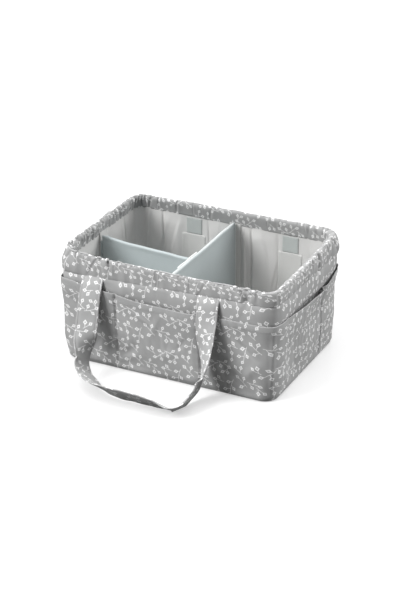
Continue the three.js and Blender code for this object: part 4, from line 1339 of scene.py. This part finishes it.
strips = [  # node it stands for, body, finish, slot
    ("main_divider_front_loop", "basket", loopTape, "hook_loop_tape"),
    ("main_divider_back_loop", "basket", loopTape, "hook_loop_tape"),
    ("cross_divider_left_loop", "basket", loopTape, "hook_loop_tape"),
    ("main_divider_front_hook", "main_divider", hookTape, "hook_loop_tape"),
    ("main_divider_back_hook", "main_divider", hookTape, "hook_loop_tape"),
    ("cross_divider_left_flap", "cross_divider", dividerCloth, "divider_cloth"),
    ("cross_divider_main_flap", "cross_divider", flapCloth, "divider_cloth"),
]


flapTop = {"rise": 0.0036, "from": 0.15, "lean": 0.0014, "leanFrom": 0.165}


def makeStrips():
    for node, body, material, slotName in strips:
        low, high = (Vector(corner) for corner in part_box(node))
        size, centre = high - low, (low + high) / 2
        thin = min(range(3), key=lambda axis: size[axis])
        facing = Vector((0, 0, 0))
        facing[thin] = -math.copysign(1, centre[thin]) * 0.5
        piece = tapePiece(pieceName(node), size, centre, facing, material)
        if node == "cross_divider_main_flap":  # its raised, uneven top shows along the main divider, with a painted highlight along it
            for vertex in piece.data.vertices:
                _, y, z = vertex.co
                rise = flapTop["rise"] + 0.0005 * math.sin(y * 410) + 0.0004 * math.sin(y * 1130 + 1)
                raised, leaning = (max(0.0, (z - level) / (high.z - level))
                                   for level in (flapTop["from"], flapTop["leanFrom"]))
                vertex.co.z += rise * raised
                vertex.co.x += flapTop["lean"] * leaning
        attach(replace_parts(piece, node), body)


makeStrips()
print("tapes and flaps made")


hemRow = {"steps": 900, "above": 0.0004, "clear": 0.0002}


def makeHemRow():
    # one row of stitches round the pockets, along the lower edge of their hem
    along = ringSteps(hemRow["steps"])
    mouth = mouthHeight(along)
    z = mouth - pocket["hem"] + hemRow["above"]
    x, y = outline(along, pocketOut(along, z, mouth) + hemRow["clear"])
    ahead = np.stack([np.gradient(x), np.gradient(y)], -1)
    ahead /= np.linalg.norm(ahead, axis=1, keepdims=True)
    normals = np.stack([ahead[:, 1], -ahead[:, 0], np.zeros(len(x))], -1)
    row = stitchRow("pocketHemStitches", np.stack([x, y, z], -1), normals, greyThread, closed=True)
    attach(row, "basket")


makeHemRow()
print("stitches made")

for name, node in nodes.items():  # solids that keep their own shape, inside the cloth
    if node.hide_render:
        continue
    node.data.materials.clear()
    node.data.materials.append(elastic if name == "rim_elastic" else foam)

stageSetting = {
    "floor": (0.93, 0.93, 0.93, 1), "bounce": (0.10, 0.10, 0.10, 1), "white": 0.44, "size": 16,
    "level": -0.0004, "sky": (3.0, 0.03), "skyPower": 4.0,
}


def seenRays(tree):
    # rays that show the background: from the camera, or by way of gloss or glass
    rays = tree.nodes.new("ShaderNodeLightPath").outputs
    return calc(tree, "MAXIMUM", rays["Is Camera Ray"],
                calc(tree, "MAXIMUM", rays["Is Glossy Ray"], rays["Is Transmission Ray"]))


def makeFloor():
    # pale and softly shaded for the camera, dull for the light that bounces off it
    bpy.ops.object.select_all(action="DESELECT")
    bpy.ops.mesh.primitive_plane_add(size=stageSetting["size"], location=(0, 0, stageSetting["level"]))
    floor = bpy.context.object
    floor.name = "paleFloor"
    material, tree, shader = newMaterial("paleFloor")
    shader.inputs["Base Color"].default_value = stageSetting["floor"]
    shader.inputs["Roughness"].default_value = 0.25
    shader.inputs["Specular IOR Level"].default_value = 0.3
    dull = tree.nodes.new("ShaderNodeBsdfDiffuse")
    dull.inputs["Color"].default_value = stageSetting["bounce"]
    mixed = tree.nodes.new("ShaderNodeMixShader")
    tree.links.new(seenRays(tree), mixed.inputs[0])
    tree.links.new(dull.outputs[0], mixed.inputs[1])
    glow = tree.nodes.new("ShaderNodeEmission")
    pale = tree.nodes.new("ShaderNodeMixShader")
    pale.inputs[0].default_value = stageSetting["white"]
    tree.links.new(shader.outputs[0], pale.inputs[1])
    tree.links.new(glow.outputs[0], pale.inputs[2])
    tree.links.new(pale.outputs[0], mixed.inputs[2])
    tree.links.new(mixed.outputs[0], tree.nodes["Material Output"].inputs[0])
    floor.data.materials.append(material)


def makeSky():
    # brightest overhead for the object, plain white for the camera
    world = bpy.data.worlds.new("studio")
    scene.world = world
    world.use_nodes = True
    tree = world.node_tree
    soft = tree.nodes["Background"]
    soft.inputs[0].default_value = (1, 1, 1, 1)
    height = split(tree, tree.nodes.new("ShaderNodeTexCoord").outputs["Generated"])[2]
    height = calc(tree, "POWER", calc(tree, "MAXIMUM", height, 0.0), stageSetting["skyPower"])
    feed(tree, soft.inputs[1], calc(tree, "MULTIPLY_ADD", height, *stageSetting["sky"]))
    white = tree.nodes.new("ShaderNodeBackground")
    white.inputs[0].default_value = (1, 1, 1, 1)
    white.inputs[1].default_value = 1.0
    mixed = tree.nodes.new("ShaderNodeMixShader")
    tree.links.new(seenRays(tree), mixed.inputs[0])
    tree.links.new(soft.outputs[0], mixed.inputs[1])
    tree.links.new(white.outputs[0], mixed.inputs[2])
    tree.links.new(mixed.outputs[0], tree.nodes["World Output"].inputs[0])


makeFloor()
makeSky()

lamps = [  # direction that the light comes from, strength, softness in degrees
    {"name": "keyLamp", "from": (-0.53, -0.58, 0.62), "strength": 3.1, "soft": 30},
    {"name": "backLamp", "from": (0.78, 0.50, 0.37), "strength": 2.0, "soft": 40},
]


def makeLamps():
    for lamp in lamps:
        way = Vector(lamp["from"]).normalized()
        turn = way.to_track_quat("Z", "Y").to_euler()
        bpy.ops.object.light_add(type="SUN", location=way * 2, rotation=turn)
        light = bpy.context.object
        light.name = lamp["name"]
        light.data.energy = lamp["strength"]
        light.data.angle = math.radians(lamp["soft"])


makeLamps()
scene.view_settings.view_transform = "Standard"
print("stage and lamps made")
